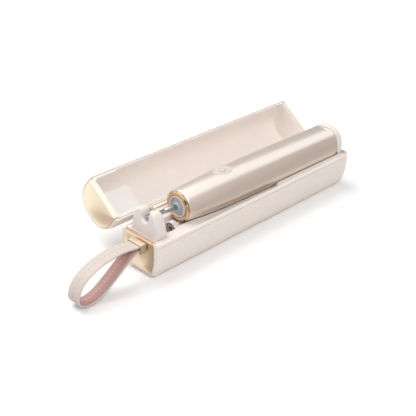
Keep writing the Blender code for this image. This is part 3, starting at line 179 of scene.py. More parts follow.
@dataclass
class Patch:
    """Points with tables of polygons, each table with a material slot for each of its rows."""

    points: Array
    tables: list[Array]
    slots: list[Array]

    def joined(self, *others: Patch) -> Patch:
        """Puts more patches into one with this one.

        Args:
            others: the patches that follow this one.

        Returns:
            A patch that holds them all.
        """
        parts = [self, *others]
        starts = np.cumsum([0] + [len(p.points) for p in parts[:-1]])
        return Patch(
            np.concatenate([p.points for p in parts]),
            [table + start for p, start in zip(parts, starts) for table in p.tables],
            [slots for p in parts for slots in p.slots],
        )


def sheet(
    grid: Array,
    wrap_rows: bool = False,
    wrap_columns: bool = False,
    capped: bool = False,
    slots: Array | None = None,
) -> Patch:
    """Lays quads over a grid of points.

    Args:
        grid: points as rows, columns and 3.
        wrap_rows: whether the last row joins the first.
        wrap_columns: whether the last column joins the first.
        capped: whether the first and last rows are closed by one polygon each.
        slots: a material slot for each column of quads.

    Returns:
        The patch of quads.
    """
    rows, columns = grid.shape[:2]
    index = np.arange(rows * columns).reshape(rows, columns)
    down = np.roll(index, -1, axis=0) if wrap_rows else index[1:]
    index = index[: len(down)]
    right_low, right_high = np.roll(index, -1, axis=1), np.roll(down, -1, axis=1)
    quads = np.stack([index, right_low, right_high, down], -1)
    quads = quads if wrap_columns else quads[:, :-1]
    chosen = np.broadcast_to(0 if slots is None else slots, quads.shape[:2])
    tables, places = [quads.reshape(-1, 4)], [chosen.reshape(-1)]
    if capped:
        first, last = np.arange(columns)[None, ::-1], (rows - 1) * columns + np.arange(columns)[None]
        tables += [first, last]
        places += [np.zeros(1, int)] * 2
    return Patch(grid.reshape(-1, 3), tables, places)


def slab(upper: Array, lower: Array) -> Patch:
    """Joins two grids of one size into a closed body with straight sides.

    Args:
        upper: points of one face as rows, columns and 3.
        lower: points of the other face.

    Returns:
        The closed body.
    """
    edges = [(slice(None), 0), (slice(None), -1), (0, slice(None)), (-1, slice(None))]
    skirts = [sheet(np.stack([upper[edge], lower[edge]])) for edge in edges]
    return sheet(upper).joined(sheet(lower), *skirts)


def soften(outline: Array, radius: float, steps: int = 5, most: float = 0.48) -> Array:
    """Rounds the corners of a closed outline.

    Each corner c becomes (1-t)^2 a + 2 t (1-t) c + t^2 b, where a and b lie one radius, or just under half an
    edge, before and after it.

    Args:
        outline: corners as rows of two.
        radius: reach of the rounding along each edge.
        steps: points for each corner.
        most: share of an edge that one corner may take.

    Returns:
        The rounded outline.
    """

    def reach(edge: Array) -> Array:
        """Steps along an edge by the radius, or less on a short edge."""
        length = np.linalg.norm(edge, axis=1, keepdims=True)
        return edge / length * np.minimum(radius, most * length)

    start = (outline + reach(np.roll(outline, 1, axis=0) - outline))[:, None]
    end = (outline + reach(np.roll(outline, -1, axis=0) - outline))[:, None]
    t = np.linspace(0, 1, steps)[None, :, None]
    curve = (1 - t) ** 2 * start + 2 * t * (1 - t) * outline[:, None] + t**2 * end
    return curve.reshape(-1, 2)


def inset(outline: Array, depths: Array, weight: Array | float = 1.0) -> Array:
    """Moves a closed outline inwards along its own normals.

    Args:
        outline: points as rows of two.
        depths: how far, for each copy.
        weight: share of the depth that each point takes.

    Returns:
        One moved copy for each depth.
    """
    along = np.roll(outline, -1, axis=0) - np.roll(outline, 1, axis=0)
    along = along / np.linalg.norm(along, axis=1, keepdims=True)
    inward = np.stack([-along[:, 1], along[:, 0]] * np.asarray(weight), -1)
    x, y = outline.T
    area = np.sum(x * np.roll(y, -1) - y * np.roll(x, -1))
    return outline[None] + np.sign(area) * inward[None] * np.asarray(depths)[:, None, None]


def rounded_prism(outline: Array, low: float, high: float, edge: float, weight: Array | float = 1.0) -> Patch:
    """Carries a (y, z) outline along X with quarter-round edges at both ends.

    At angle t the edge lies r (1 - cos t) in from the end, and the outline is inset by r (1 - sin t).

    Args:
        outline: closed outline.
        low: first X.
        high: last X.
        edge: radius of the rounded edges.
        weight: share of the rounding that each point of the outline takes.

    Returns:
        The closed block.
    """
    t = np.linspace(0, math.pi / 2, 6)
    depths = edge * (1 - np.sin(np.concatenate([t, t[::-1]])))
    along = np.concatenate([low + edge * (1 - np.cos(t)), high - edge * (1 - np.cos(t[::-1]))])
    return sheet(carried(along, inset(outline, depths, weight)), wrap_columns=True, capped=True)


def turned(profile: Array, steps: int = 96) -> Patch:
    """Turns a closed (x, radius) profile about X.

    Args:
        profile: points as rows of two.
        steps: columns round the axis.

    Returns:
        The closed ring.
    """
    angles = full_turn(steps)
    x, radius = profile[:, :1], profile[:, 1:]
    grid = np.stack([x + 0 * angles, radius * np.cos(angles), radius * np.sin(angles)], -1)
    return sheet(grid, wrap_rows=True, wrap_columns=True)


def stitches(path: Array, pitch: float, size: tuple[float, float]) -> Patch:
    """Lays a row of thread stitches along a path that keeps one Y.

    Each stitch is the spindle (a cos v, r sin v cos u, r sin v sin u), with a its half length along the path.

    Args:
        path: points of the seam as rows of three.
        pitch: distance from stitch to stitch.
        size: length and radius of a stitch.

    Returns:
        All the stitches.
    """
    run = np.concatenate([[0], np.cumsum(np.linalg.norm(np.diff(path, axis=0), axis=1))])
    spots = np.arange(pitch / 2, run[-1], pitch)

    def at(distance: Array) -> Array:
        """Finds the points at distances along the path."""
        return np.stack([np.interp(distance, run, path[:, k]) for k in range(3)], -1)

    ahead = at(np.minimum(spots + pitch / 4, run[-1])) - at(np.maximum(spots - pitch / 4, 0))
    ahead /= np.linalg.norm(ahead, axis=1, keepdims=True)
    side = np.cross(ahead, [0.0, 1.0, 0.0])
    v, u = np.meshgrid(np.linspace(0, math.pi, 7), np.linspace(0, 2 * math.pi, 7), indexing="ij")
    length, radius = size
    girth = np.sin(v) * radius
    shape = np.stack([np.cos(v) * length / 2, np.cos(u) * girth, np.sin(u) * girth], -1)
    axes = np.stack([ahead, side, np.cross(side, ahead)], 1)
    points = at(spots)[:, None, None] + np.einsum("vuk,nkc->nvuc", shape, axes)
    one = sheet(points[0]).tables[0]
    table = (np.arange(len(spots))[:, None, None] * shape[..., 0].size + one[None]).reshape(-1, 4)
    return Patch(points.reshape(-1, 3), [table], [np.zeros(len(table), int)])


def add(
    tree: bpy.types.NodeTree,
    kind: str,
    sockets: dict[str | int, object] | None = None,
    **settings: object,
) -> bpy.types.Node:
    """Adds a node with its settings and links.

    Args:
        tree: the node tree.
        kind: the node's type name.
        sockets: inputs by name or number, each an output to link or a value to set.
        settings: the node's own properties.

    Returns:
        The new node.
    """
    made = tree.nodes.new(kind)
    for name, value in settings.items():
        setattr(made, name, value)
    for key, value in (sockets or {}).items():
        if isinstance(value, bpy.types.NodeSocket):
            tree.links.new(value, made.inputs[key])
        else:
            made.inputs[key].default_value = value
    return made


def new_material(name: str, **constants: float) -> Start:
    """Starts a material with constant values on its shader.

    Args:
        name: the material's name.
        constants: shader sockets, with spaces written as underscores.

    Returns:
        The material, its tree, its shader and the Object coordinates.
    """
    made = bpy.data.materials.new(name)
    made.use_nodes = True
    tree = made.node_tree
    shader = tree.nodes["Principled BSDF"]
    for key, value in constants.items():
        shader.inputs[key.replace("_", " ")].default_value = value
    return made, tree, shader, add(tree, "ShaderNodeTexCoord").outputs["Object"]


def per_metre(size: float) -> float:
    """Turns the size of one pattern cell in millimetres into a texture scale."""
    return 1 / (size * MM)


@dataclass(frozen=True)
class Leather:
    """Embossed cowhide: small raised pebbles with darker valleys, a soft sheen and slow changes of tone."""

    name: str
    colour: str
    valley: str
    pebble: float = 0.9
    relief: float = 0.10
    roughness: float = 0.52
    specular: float = 0.4
    hide_patch: float = 14.0
    valley_share: float = 0.55
    hide_share: float = 0.35
    bump: float = 0.35

    def make(self) -> Material:
        """Builds the material.

        Returns:
            The new material.
        """
        constants = {"Roughness": self.roughness, "Specular_IOR_Level": self.specular}
        made, tree, shader, place = new_material(self.name, **constants)
        pebbles = {"Vector": place, "Scale": per_metre(self.pebble)}
        grain = add(tree, "ShaderNodeTexVoronoi", pebbles, feature="SMOOTH_F1")
        patches = {"Vector": place, "Scale": per_metre(self.hide_patch), "Detail": 3.0}
        hide = add(tree, "ShaderNodeTexNoise", patches)
        valleys = {0: grain.outputs["Distance"], 1: self.valley_share}
        shade = add(tree, "ShaderNodeMath", valleys, operation="MULTIPLY")
        tones = {0: hide.outputs["Fac"], 1: self.hide_share, 2: shade.outputs[0]}
        tone = add(tree, "ShaderNodeMath", tones, operation="MULTIPLY_ADD")
        colours = {"Factor": tone.outputs[0], "A": linear(self.colour), "B": linear(self.valley)}
        colour = add(tree, "ShaderNodeMix", colours, data_type="RGBA")
        raised = add(tree, "ShaderNodeMath", {0: 1.0, 1: grain.outputs["Distance"]}, operation="SUBTRACT")
        height = {"Strength": self.bump, "Distance": self.relief * MM, "Height": raised.outputs[0]}
        bump = add(tree, "ShaderNodeBump", height)
        tree.links.new(colour.outputs["Result"], shader.inputs["Base Color"])
        tree.links.new(bump.outputs[0], shader.inputs["Normal"])
        return made


@dataclass(frozen=True)
class SatinMetal:
    """Blasted and tinted aluminium: a metal with fine flakes of tone and a slightly uneven gloss.

    Blasting leaves pits of about 0.05 mm. The flakes are drawn coarser than that, so that they show.
    """

    name: str
    colour: str
    shade: str
    metallic: float = 1.0
    roughness: float = 0.3
    flake: float = 0.35
    contrast: float = 0.25
    gloss_patch: float = 9.0
    gloss_change: float = 0.04

    def make(self) -> Material:
        """Builds the material.

        Returns:
            The new material.
        """
        made, tree, shader, place = new_material(self.name, Metallic=self.metallic)
        flakes = add(tree, "ShaderNodeTexVoronoi", {"Vector": place, "Scale": per_metre(self.flake)})
        patches = {"Vector": place, "Scale": per_metre(self.gloss_patch), "Detail": 2.0}
        drift = add(tree, "ShaderNodeTexNoise", patches)
        pick = add(tree, "ShaderNodeSeparateColor", {0: flakes.outputs["Color"]})
        share = add(tree, "ShaderNodeMath", {0: pick.outputs[0], 1: self.contrast}, operation="MULTIPLY")
        colours = {"Factor": share.outputs[0], "A": linear(self.colour), "B": linear(self.shade)}
        colour = add(tree, "ShaderNodeMix", colours, data_type="RGBA")
        low, high = (self.roughness * (1 + sign * self.gloss_change) for sign in (-1, 1))
        spread = {"Value": drift.outputs["Fac"], "To Min": low, "To Max": high}
        gloss = add(tree, "ShaderNodeMapRange", spread)
        tree.links.new(colour.outputs["Result"], shader.inputs["Base Color"])
        tree.links.new(gloss.outputs[0], shader.inputs["Roughness"])
        return made


@dataclass(frozen=True)
class Moulded:
    """Moulded plastic, rubber or paint: one colour with a slow drift of tone and a fine spark-eroded grain.

    A spark-eroded mould leaves a grain of about 0.03 mm. It is drawn coarser than that, so that it shows.
    """

    name: str
    colour: str
    shade: str
    roughness: float = 0.45
    grain: float = 0.3
    relief: float = 0.01
    ior: float = 1.49
    tone_patch: float = 11.0
    bump: float = 0.3

    def make(self) -> Material:
        """Builds the material.

        Returns:
            The new material.
        """
        made, tree, shader, place = new_material(self.name, Roughness=self.roughness, IOR=self.ior)
        drift, fine = (
            add(tree, "ShaderNodeTexNoise", {"Vector": place, "Scale": per_metre(size), "Detail": 2.0})
            for size in (self.tone_patch, self.grain)
        )
        colours = {"Factor": drift.outputs["Fac"], "A": linear(self.colour), "B": linear(self.shade)}
        colour = add(tree, "ShaderNodeMix", colours, data_type="RGBA")
        height = {"Strength": self.bump, "Distance": self.relief * MM, "Height": fine.outputs["Fac"]}
        bump = add(tree, "ShaderNodeBump", height)
        tree.links.new(colour.outputs["Result"], shader.inputs["Base Color"])
        tree.links.new(bump.outputs[0], shader.inputs["Normal"])
        return made


@dataclass(frozen=True)
class Wound:
    """Enamelled wire or twisted thread: even bands at the wire's spacing, round in the light.

    Fine wire and thread repeat every 0.1 to 0.3 mm. The bands are drawn coarser than that, so that they show.
    """

    name: str
    colour: str
    gap: str
    spacing: float
    metallic: float = 0.0
    roughness: float = 0.5
    unevenness: float = 0.4
    relief_share: float = 0.1
    bump: float = 0.4

    def make(self) -> Material:
        """Builds the material.

        Returns:
            The new material.
        """
        made, tree, shader, place = new_material(self.name, Metallic=self.metallic, Roughness=self.roughness)
        scale = per_metre(self.spacing) / (2 * math.pi)
        turns = {"Vector": place, "Scale": scale, "Distortion": self.unevenness}
        bands = add(tree, "ShaderNodeTexWave", turns, bands_direction="DIAGONAL")
        colours = {"Factor": bands.outputs["Fac"], "A": linear(self.gap), "B": linear(self.colour)}
        colour = add(tree, "ShaderNodeMix", colours, data_type="RGBA")
        depth = self.relief_share * self.spacing * MM
        height = {"Strength": self.bump, "Distance": depth, "Height": bands.outputs["Fac"]}
        bump = add(tree, "ShaderNodeBump", height)
        tree.links.new(colour.outputs["Result"], shader.inputs["Base Color"])
        tree.links.new(bump.outputs[0], shader.inputs["Normal"])
        return made


class Finish(Enum):
    """Every finish of the object: one for each slot of the record, and a few extra ones."""

    # Cowhide embossed with small pebbles: a warm off-white with a soft, even grain.
    LEATHER = Leather("embossed leather", "faf0e8", "e8d9ce")
    # The same hide in a greyer cream: it reads a little darker than the case.
    STRAP = Leather("strap leather", "e2d6ce", "cfc0b6")
    # Thin hide pulled smooth over a roll: a glossier line along the rims, its paler colour a painted highlight
    # where the roll faces up.
    PIPING = Leather("rolled smooth leather", "fdf6ef", "f4e9e0", pebble=0.5, relief=0.03, roughness=0.42)
    # Anodised aluminium with a satin face: broad, soft reflections in a pale gold.
    GOLD = SatinMetal("satin gold aluminium", "f5e5cf", "e6d3b6", roughness=0.36)
    # The same metal brushed on its flat edge: nearly even, with no clear reflection.
    PALE_GOLD = SatinMetal("brushed pale gold", "f9eede", "f0e0c9", roughness=0.5)
    # Polished plating: sharp light and dark reflections in a pinkish gold.
    ROSE = SatinMetal("polished rose gold", "dcbd9c", "cba784", roughness=0.16)
    # The same plating blasted: a dull tan that keeps its shape in soft steps.
    TAN = SatinMetal("satin rose gold", "decbb6", "cfb8a2", roughness=0.45)
    # A thin plated strip seen edge on: a darker pink line along the parting.
    STRIP = SatinMetal("rose rim strip", "cfb19b", "bd9c87", roughness=0.42)
    # ABS from a lightly textured mould: warm white with a wide, weak highlight.
    WHITE = Moulded("moulded warm white plastic", "f2e9e5", "ebe1db", roughness=0.42)
    # The same plastic, slightly paler and duller: an ivory that shades softly.
    LINER = Moulded("moulded ivory plastic", "f8f1ec", "f3eae4", roughness=0.45)
    # The same plastic where its mould was polished, with a clear highlight, and painted pure white: a painted
    # highlight on the lid's rim bead and painted light on the pad panel.
    RIM = Moulded("polished white edge", "ffffff", "fbf6f2", roughness=0.25)
    # Anodised aluminium with a fine blast: a long, soft band of light on a beige metal.
    CHAMPAGNE = SatinMetal("satin champagne aluminium", "f9f0e8", "f1e6dc", roughness=0.31)
    # Soft-touch lacquer: a grey-beige that stays flat where the metal round it shines.
    PANEL = Moulded("soft-touch panel", "e0d7ce", "d5cbc1", roughness=0.5)
    # Split hide dyed through: a dry, dusty mauve with almost no shine.
    MAUVE = Leather("mauve split hide", "cda9a4", "b48f8a", pebble=0.5, relief=0.05, roughness=0.75)
    # Silicone rubber: a cool light grey with a dull, waxy surface.
    GREY = Moulded("light grey silicone", "c3c6c6", "aeb2b3", roughness=0.6, grain=0.4, relief=0.02)
    # Filled nylon: a warm dark grey that still shows its form.
    BLACK = Moulded("dark grey plastic", "57524f", "403c3a", roughness=0.5)
    # Thermoplastic rubber: a middle grey that reads darker in the bore.
    INSERT = Moulded("grey elastomer", "a59a93", "8a807a", roughness=0.5)
    # Clear lacquer over thin plating: pale gold, part metal and part coat.
    HINGE = SatinMetal("pale gold lacquer", "fbf0e2", "f4e6d4", metallic=0.3, roughness=0.5)
    # Polished stainless steel: mirrors the room in a neutral grey.
    CHROME = SatinMetal("polished steel", "b7bbbf", "a3a8ac", roughness=0.08)
    # Drawn steel: the same grey with a soft, wide highlight.
    STEEL = SatinMetal("drawn steel", "b4b6b8", "95989a", roughness=0.38)
    # Sintered bronze: a brown metal that is dull from its open pores.
    BRONZE = SatinMetal("sintered bronze", "a8845a", "86683f", roughness=0.5, flake=0.2)
    # Copper wire under clear enamel: reddish turns with dark gaps.
    COPPER = Wound("enamelled copper winding", "bd7443", "6e3b1d", spacing=0.35, metallic=0.9, roughness=0.35)
    # Woven glass in resin under a green mask: an even, half-matt dark green.
    BOARD = Moulded("green glass laminate", "35684f", "28523d", roughness=0.5, grain=0.6, relief=0.02)
    # Shrunk plastic film: a smooth slate blue with a wide highlight.
    CELL = Moulded("shrunk cell sleeve", "63779a", "52648a", roughness=0.45)
    # Drawn nylon: a cool white that shines along the hairs.
    BRISTLE = Moulded("clear nylon", "f5f7f7", "e3e8ea", roughness=0.4)
    # Waxed polyester thread: pale turns with a faint shine.
    THREAD = Wound("waxed pale thread", "f6ebe5", "d9c5bc", spacing=0.5, roughness=0.6)
    # Waxed thread painted darker beige: painted shade of the stitch holes and groove, a fine darker line in
    # the seam.
    SEAM = Wound("thread painted with seam shade", "c8b3a4", "a58e7e", spacing=0.5, roughness=0.6)


@dataclass
class Maker:
    """Puts patches into Blender as pieces that ride on a body and stand for its nodes.

    Points closer than the weld are joined, and edges shorter than the sliver go, both in metres.
    """

    finishes: dict[Finish, Material]
    sharp_angle: float = 48.0
    weld: float = 1e-7
    sliver: float = 1e-8

    def piece(
        self,
        name: str,
        patch: Patch,
        place: Callable[[Array], Array],
        body: Body,
        slot: Finish,
        nodes: Sequence[str] = (),
        more: Sequence[Finish] = (),
        finish: Finish | None = None,
    ) -> bpy.types.Object:
        """Makes one piece.

        Args:
            name: the piece's name.
            patch: its points, in millimetres in its own frame, and polygons.
            place: turns those points into metres in the shared frame.
            body: the body that it rides on.
            slot: the record's slot of its finish.
            nodes: the solids that it stands for.
            more: the finishes of the further material slots.
            finish: the finish, where it isn't the slot's own.

        Returns:
            The new object.
        """
        mesh = bpy.data.meshes.new(name)
        points = place(patch.points).astype(np.float32)
        mesh.vertices.add(len(points))
        mesh.vertices.foreach_set("co", points.ravel())
        corners = np.concatenate([table.ravel() for table in patch.tables])
        sizes = np.concatenate([np.full(len(table), table.shape[1]) for table in patch.tables])
        mesh.loops.add(len(corners))
        mesh.loops.foreach_set("vertex_index", corners.astype(np.int32))
        mesh.polygons.add(len(sizes))
        mesh.polygons.foreach_set("loop_start", (np.cumsum(sizes) - sizes).astype(np.int32))
        mesh.polygons.foreach_set("material_index", np.concatenate(patch.slots).astype(np.int32))
        mesh.update(calc_edges=True)
        work = bmesh.new()
        work.from_mesh(mesh)
        bmesh.ops.remove_doubles(work, verts=work.verts, dist=self.weld)
        bmesh.ops.dissolve_degenerate(work, edges=work.edges, dist=self.sliver)
        bmesh.ops.recalc_face_normals(work, faces=work.faces)
        work.to_mesh(mesh)
        work.free()
        mesh.shade_smooth()
        mesh.set_sharp_from_angle(angle=math.radians(self.sharp_angle))
        for chosen in (finish or slot, *more):
            mesh.materials.append(self.finishes[chosen])
        made = bpy.data.objects.new(name, mesh)
        bpy.context.scene.collection.objects.link(made)
        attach(made, body.value)
        if nodes:
            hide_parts(*nodes)
        LOG.info("%s: %d faces on %s", name, len(mesh.polygons), body.value)
        return made


@dataclass(frozen=True)
class Tilted:
    """A frame whose X leans down by an angle about Y at a point, in millimetres."""

    origin: tuple[float, float, float]
    lean: float

    def __call__(self, points: Array) -> Array:
        """Turns points about Y, moves them to the origin and scales them to metres.

        Args:
            points: rows of three in this frame.

        Returns:
            The points in the shared frame, in metres.
        """
        cos, sin = math.cos(self.lean), math.sin(self.lean)
        turn = np.array([[cos, 0, -sin], [0, 1, 0], [sin, 0, cos]])
        return (points @ turn + np.array(self.origin)) * MM


@dataclass(frozen=True)
class Section:
    """The trough section of one half: its height, lower bends, leather and the band round its ends."""

    height: float
    bend_width: float
    straight: float
    leather: float
    band: float

    @property
    def bend_height(self) -> float:
        """Height of the quarter ellipse at each lower corner."""
        return self.height - self.straight


@dataclass(frozen=True)
class Piping:
    """The rolled edge of the leather and the stitched groove under it."""

    height: float = 2.5
    proud: float = 0.28
    below: float = 2.9
    depth: float = 0.5
    width: float = 0.36

    def dent(self, distance: Array) -> Array:
        """Gives the dent of the leather at a distance d under the rim.

        The groove is depth * exp(-((d - below) / width)^2). The roll above it takes away
        proud * sqrt(1 - (2 d / height - 1)^2).

        Args:
            distance: how far under the rim.

        Returns:
            The dent inwards.
        """
        groove = self.depth * np.exp(-(((distance - self.below) / self.width) ** 2))
        return groove - self.proud * np.sqrt(np.clip(1 - (2 * distance / self.height - 1) ** 2, 0, 1))


@dataclass(frozen=True)
class CaseShape:
    """Sizes that the pieces of the case share, and how many points their sections have."""

    half_length: float
    half_width: float
    inside_x: float
    cap_inner_x: float
    hinge_y: float
    hinge_z: float
    open_angle: float
    base: Section
    lid: Section
    rim_gap: float = 0.4
    fillet: float = 5.0
    cut_edge: float = 0.5
    turn_in: float = 2.6
    setback: float = 0.6
    side_points: int = 34
    bend_points: int = 40
    floor_points: int = 10
    rim_points: int = 11
    rim_crowding: float = 1.5

    @classmethod
    def from_frame(cls, frame: dict) -> CaseShape:
        """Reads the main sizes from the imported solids.


        Returns:
            The case's sizes.
        """
        wrap = np.array(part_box("base_wrap")[1]) / MM
        hinge = next(j for j in frame["joints"] if j["name"] == "lid_hinge")
        return cls(
            half_length=wrap[0] + cls.setback,
            half_width=wrap[1],
            inside_x=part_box("base_tray")[1].x / MM,
            cap_inner_x=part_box("base_end_cap_port")[0].x / MM,
            hinge_y=hinge["pos_m"][1] / MM,
            hinge_z=hinge["pos_m"][2] / MM,
            open_angle=math.radians(hinge["range_deg"][1]),
            base=Section(height=wrap[2], bend_width=9.0, straight=4.0, leather=1.5, band=3.2),
            lid=Section(height=28.2, bend_width=17.0, straight=9.5, leather=1.1, band=1.9),
        )

    def section(self, half: Half) -> Section:
        """Gives the section of one half."""
        return self.base if half is Half.BASE else self.lid

    def placer(self, half: Half) -> Callable[[Array], Array]:
        """Gives the function that places points of one half.

        A lid point is turned over onto the base and then swung open about the hinge line.

        Args:
            half: base or lid.

        Returns:
            A function from millimetres in the half's own trough to metres in the shared frame.
        """

        def swing(points: Array) -> Array:
            """Places lid points.

            Args:
                points: rows of three in the lid's own trough, in millimetres.

            Returns:
                The points in the shared frame, in metres.
            """
            y = points[:, 1] - self.hinge_y
            z = self.base.height + self.rim_gap + self.lid.height - points[:, 2] - self.hinge_z
            cos, sin = math.cos(self.open_angle), math.sin(self.open_angle)
            turned_y, turned_z = y * cos + z * sin, z * cos - y * sin
            return np.stack([points[:, 0], turned_y + self.hinge_y, turned_z + self.hinge_z], -1) * MM

        return swing if half is Half.LID else metres

    def wall_line(self, section: Section, height: float) -> tuple[Array, Array]:
        """Follows the outside of a trough from the front rim round to the back rim.

        The line is a straight side, a quarter ellipse (-w cos t, -h sin t), the flat bottom, another quarter
        ellipse and the other side. Points crowd towards the rims, and an offset o shortens both half axes.

        Args:
            section: the section of the half.
            height: where the sides end.

        Returns:
            The points in (y, z) and their steps inwards.
        """
        wide, tall = section.bend_width, section.bend_height
        share = np.linspace(0, 1, self.side_points, endpoint=False)
        rise = height - (height - tall) * share**self.rim_crowding
        bend = np.radians(np.linspace(180, 270, self.bend_points, endpoint=False))
        flat = self.half_width - wide
        along = np.linspace(-flat, 0, self.floor_points, endpoint=False)
        front = [
            np.stack([0 * rise - self.half_width, rise], -1),
            np.stack([wide * np.cos(bend) - flat, tall * np.sin(bend) + tall], -1),
            np.stack([along, 0 * along], -1),
        ]
        normal = [
            np.stack([0 * rise + 1, 0 * rise], -1),
            -unit(bend),
            np.stack([0 * along, 0 * along + 1], -1),
        ]
        line, inward = np.concatenate(front), np.concatenate(normal)
        mirror = np.array([-1, 1])
        middle = (np.array([[0.0, 0.0]]), np.array([[0.0, 1.0]]))
        return (
            np.concatenate([line, middle[0], line[::-1] * mirror]),
            np.concatenate([inward, middle[1], inward[::-1] * mirror]),
        )

    def trough_loops(
        self,
        section: Section,
        stations: Array,
        bead: float,
        piping: Piping | None = None,
    ) -> Array:
        """Builds closed sections of a trough wall with a rolled rim.

        A station (x, outer, inner, lift) has its skins at the two offsets from the outside line. The rim is
        half an ellipse from skin to skin, and a lift of 1 brings the inner skin up to the rim, which makes an
        end wall.

        Args:
            section: the section of the half.
            stations: rows of x, outer, inner and lift.
            bead: height of the rolled rim.
            piping: the leather's rolled edge, if there is one.

        Returns:
            Points as stations, section and 3.
        """
        height = section.height
        line, inward = self.wall_line(section, height - bead)
        x, outer, inner, lift = (stations[:, k : k + 1] for k in range(4))
        dent = piping.dent(height - line[:, 1]) if piping else 0 * line[:, 1]
        shift = outer + dent * (outer < inner)
        skin_y, skin_z = line[:, 0] + inward[:, 0] * shift, line[:, 1] + inward[:, 1] * shift
        back_y, back_z = line[:, 0] + inward[:, 0] * inner, line[:, 1] + inward[:, 1] * inner
        back_z = back_z + (height - bead - back_z) * lift
        roll = np.linspace(0, math.pi, self.rim_points)[1:-1]
        rim = shift[:, :1] + (inner - shift[:, :1]) * (1 - np.cos(roll)) / 2
        rim_z = np.broadcast_to(height - bead + bead * np.sin(roll), rim.shape)
        y = [skin_y, self.half_width - rim, back_y[:, ::-1], rim[:, ::-1] - self.half_width]
        z = [skin_z, rim_z, back_z[:, ::-1], rim_z[:, ::-1]]
        y, z = np.concatenate(y, 1), np.concatenate(z, 1)
        return np.stack([np.broadcast_to(x, y.shape), y, z], -1)


def metres(points: Array) -> Array:
    """Scales points of the shared frame from millimetres to metres."""
    return points * MM


@dataclass
class LeatherHalf:
    """The leather over one half of the case, with its rolled rim and the seam below it."""

    shape: CaseShape
    half: Half
    piping: Piping = field(default_factory=Piping)
    stitch_pitch: float = 1.9
    stitch_size: tuple[float, float] = (1.2, 0.17)
    end_rows: int = 10
    run_rows: int = 42

    def stations(self) -> Array:
        """Lists the sections along X: round the end fillets and along the sides.

        At depth d from the cut edge a fillet of radius r is offset by r (1 - sqrt(1 - s^2)), with
        s = s0 - d / r, where s0 puts the cut edge on the band. The edge is turned in to the band's full depth
        there.

        Returns:
            Rows of x, outer offset, inner offset and lift.
        """
        case, section = self.shape, self.shape.section(self.half)
        start = math.sqrt(1 - (1 - (section.band - case.cut_edge) / case.fillet) ** 2)
        turned_in = np.linspace(0, case.turn_in, self.end_rows)
        rounded = np.linspace(case.turn_in, case.fillet * start, self.end_rows)
        depth = np.concatenate([[0], turned_in, rounded])
        outer = case.fillet * (1 - np.sqrt(1 - (start - depth / case.fillet) ** 2))
        outer[0] = section.band
        inner = np.where(np.arange(len(depth)) <= len(turned_in), section.band, section.leather)
        near = np.stack([depth + case.setback - case.half_length, outer, inner, 0 * depth], -1)
        run = np.linspace(near[-1, 0], -near[-1, 0], self.run_rows)[1:-1]
        middle = np.stack([run, 0 * run, 0 * run + section.leather, 0 * run], -1)
        return np.concatenate([near, middle, near[::-1] * [-1, 1, 1, 1]])

    def build(self, maker: Maker) -> None:
        """Makes the leather and its stitches.

        Args:
            maker: what puts the pieces in.
        """
        case, half, piping = self.shape, self.half, self.piping
        section = case.section(half)
        grid = case.trough_loops(section, self.stations(), section.leather / 2, piping)
        place = case.placer(half)
        # The top of the leather along the roll takes the paler finish, a painted highlight.
        rolled = section.height - grid[:-1, :, 2] < piping.height
        patch = sheet(grid, wrap_columns=True, slots=rolled.astype(int))
        node = f"{half.value}_wrap"
        maker.piece(f"{half.value}_leather", patch, place, half.body, Finish.LEATHER, [node], [Finish.PIPING])
        reach = case.half_length - case.fillet
        seam_y = case.half_width - piping.depth + self.stitch_size[1] / 3
        seam_z = section.height - piping.below
        ends = np.array([[-reach, -seam_y, seam_z], [reach, -seam_y, seam_z]])
        front = stitches(ends, self.stitch_pitch, self.stitch_size)
        back = stitches(ends * [1, -1, 1], self.stitch_pitch, self.stitch_size)
        rows = front.joined(back)
        # The seam's stitches take the darker thread colour, which is painted shade of the groove.
        maker.piece(f"{half.value}_seam_thread", rows, place, half.body, Finish.LEATHER, finish=Finish.SEAM)


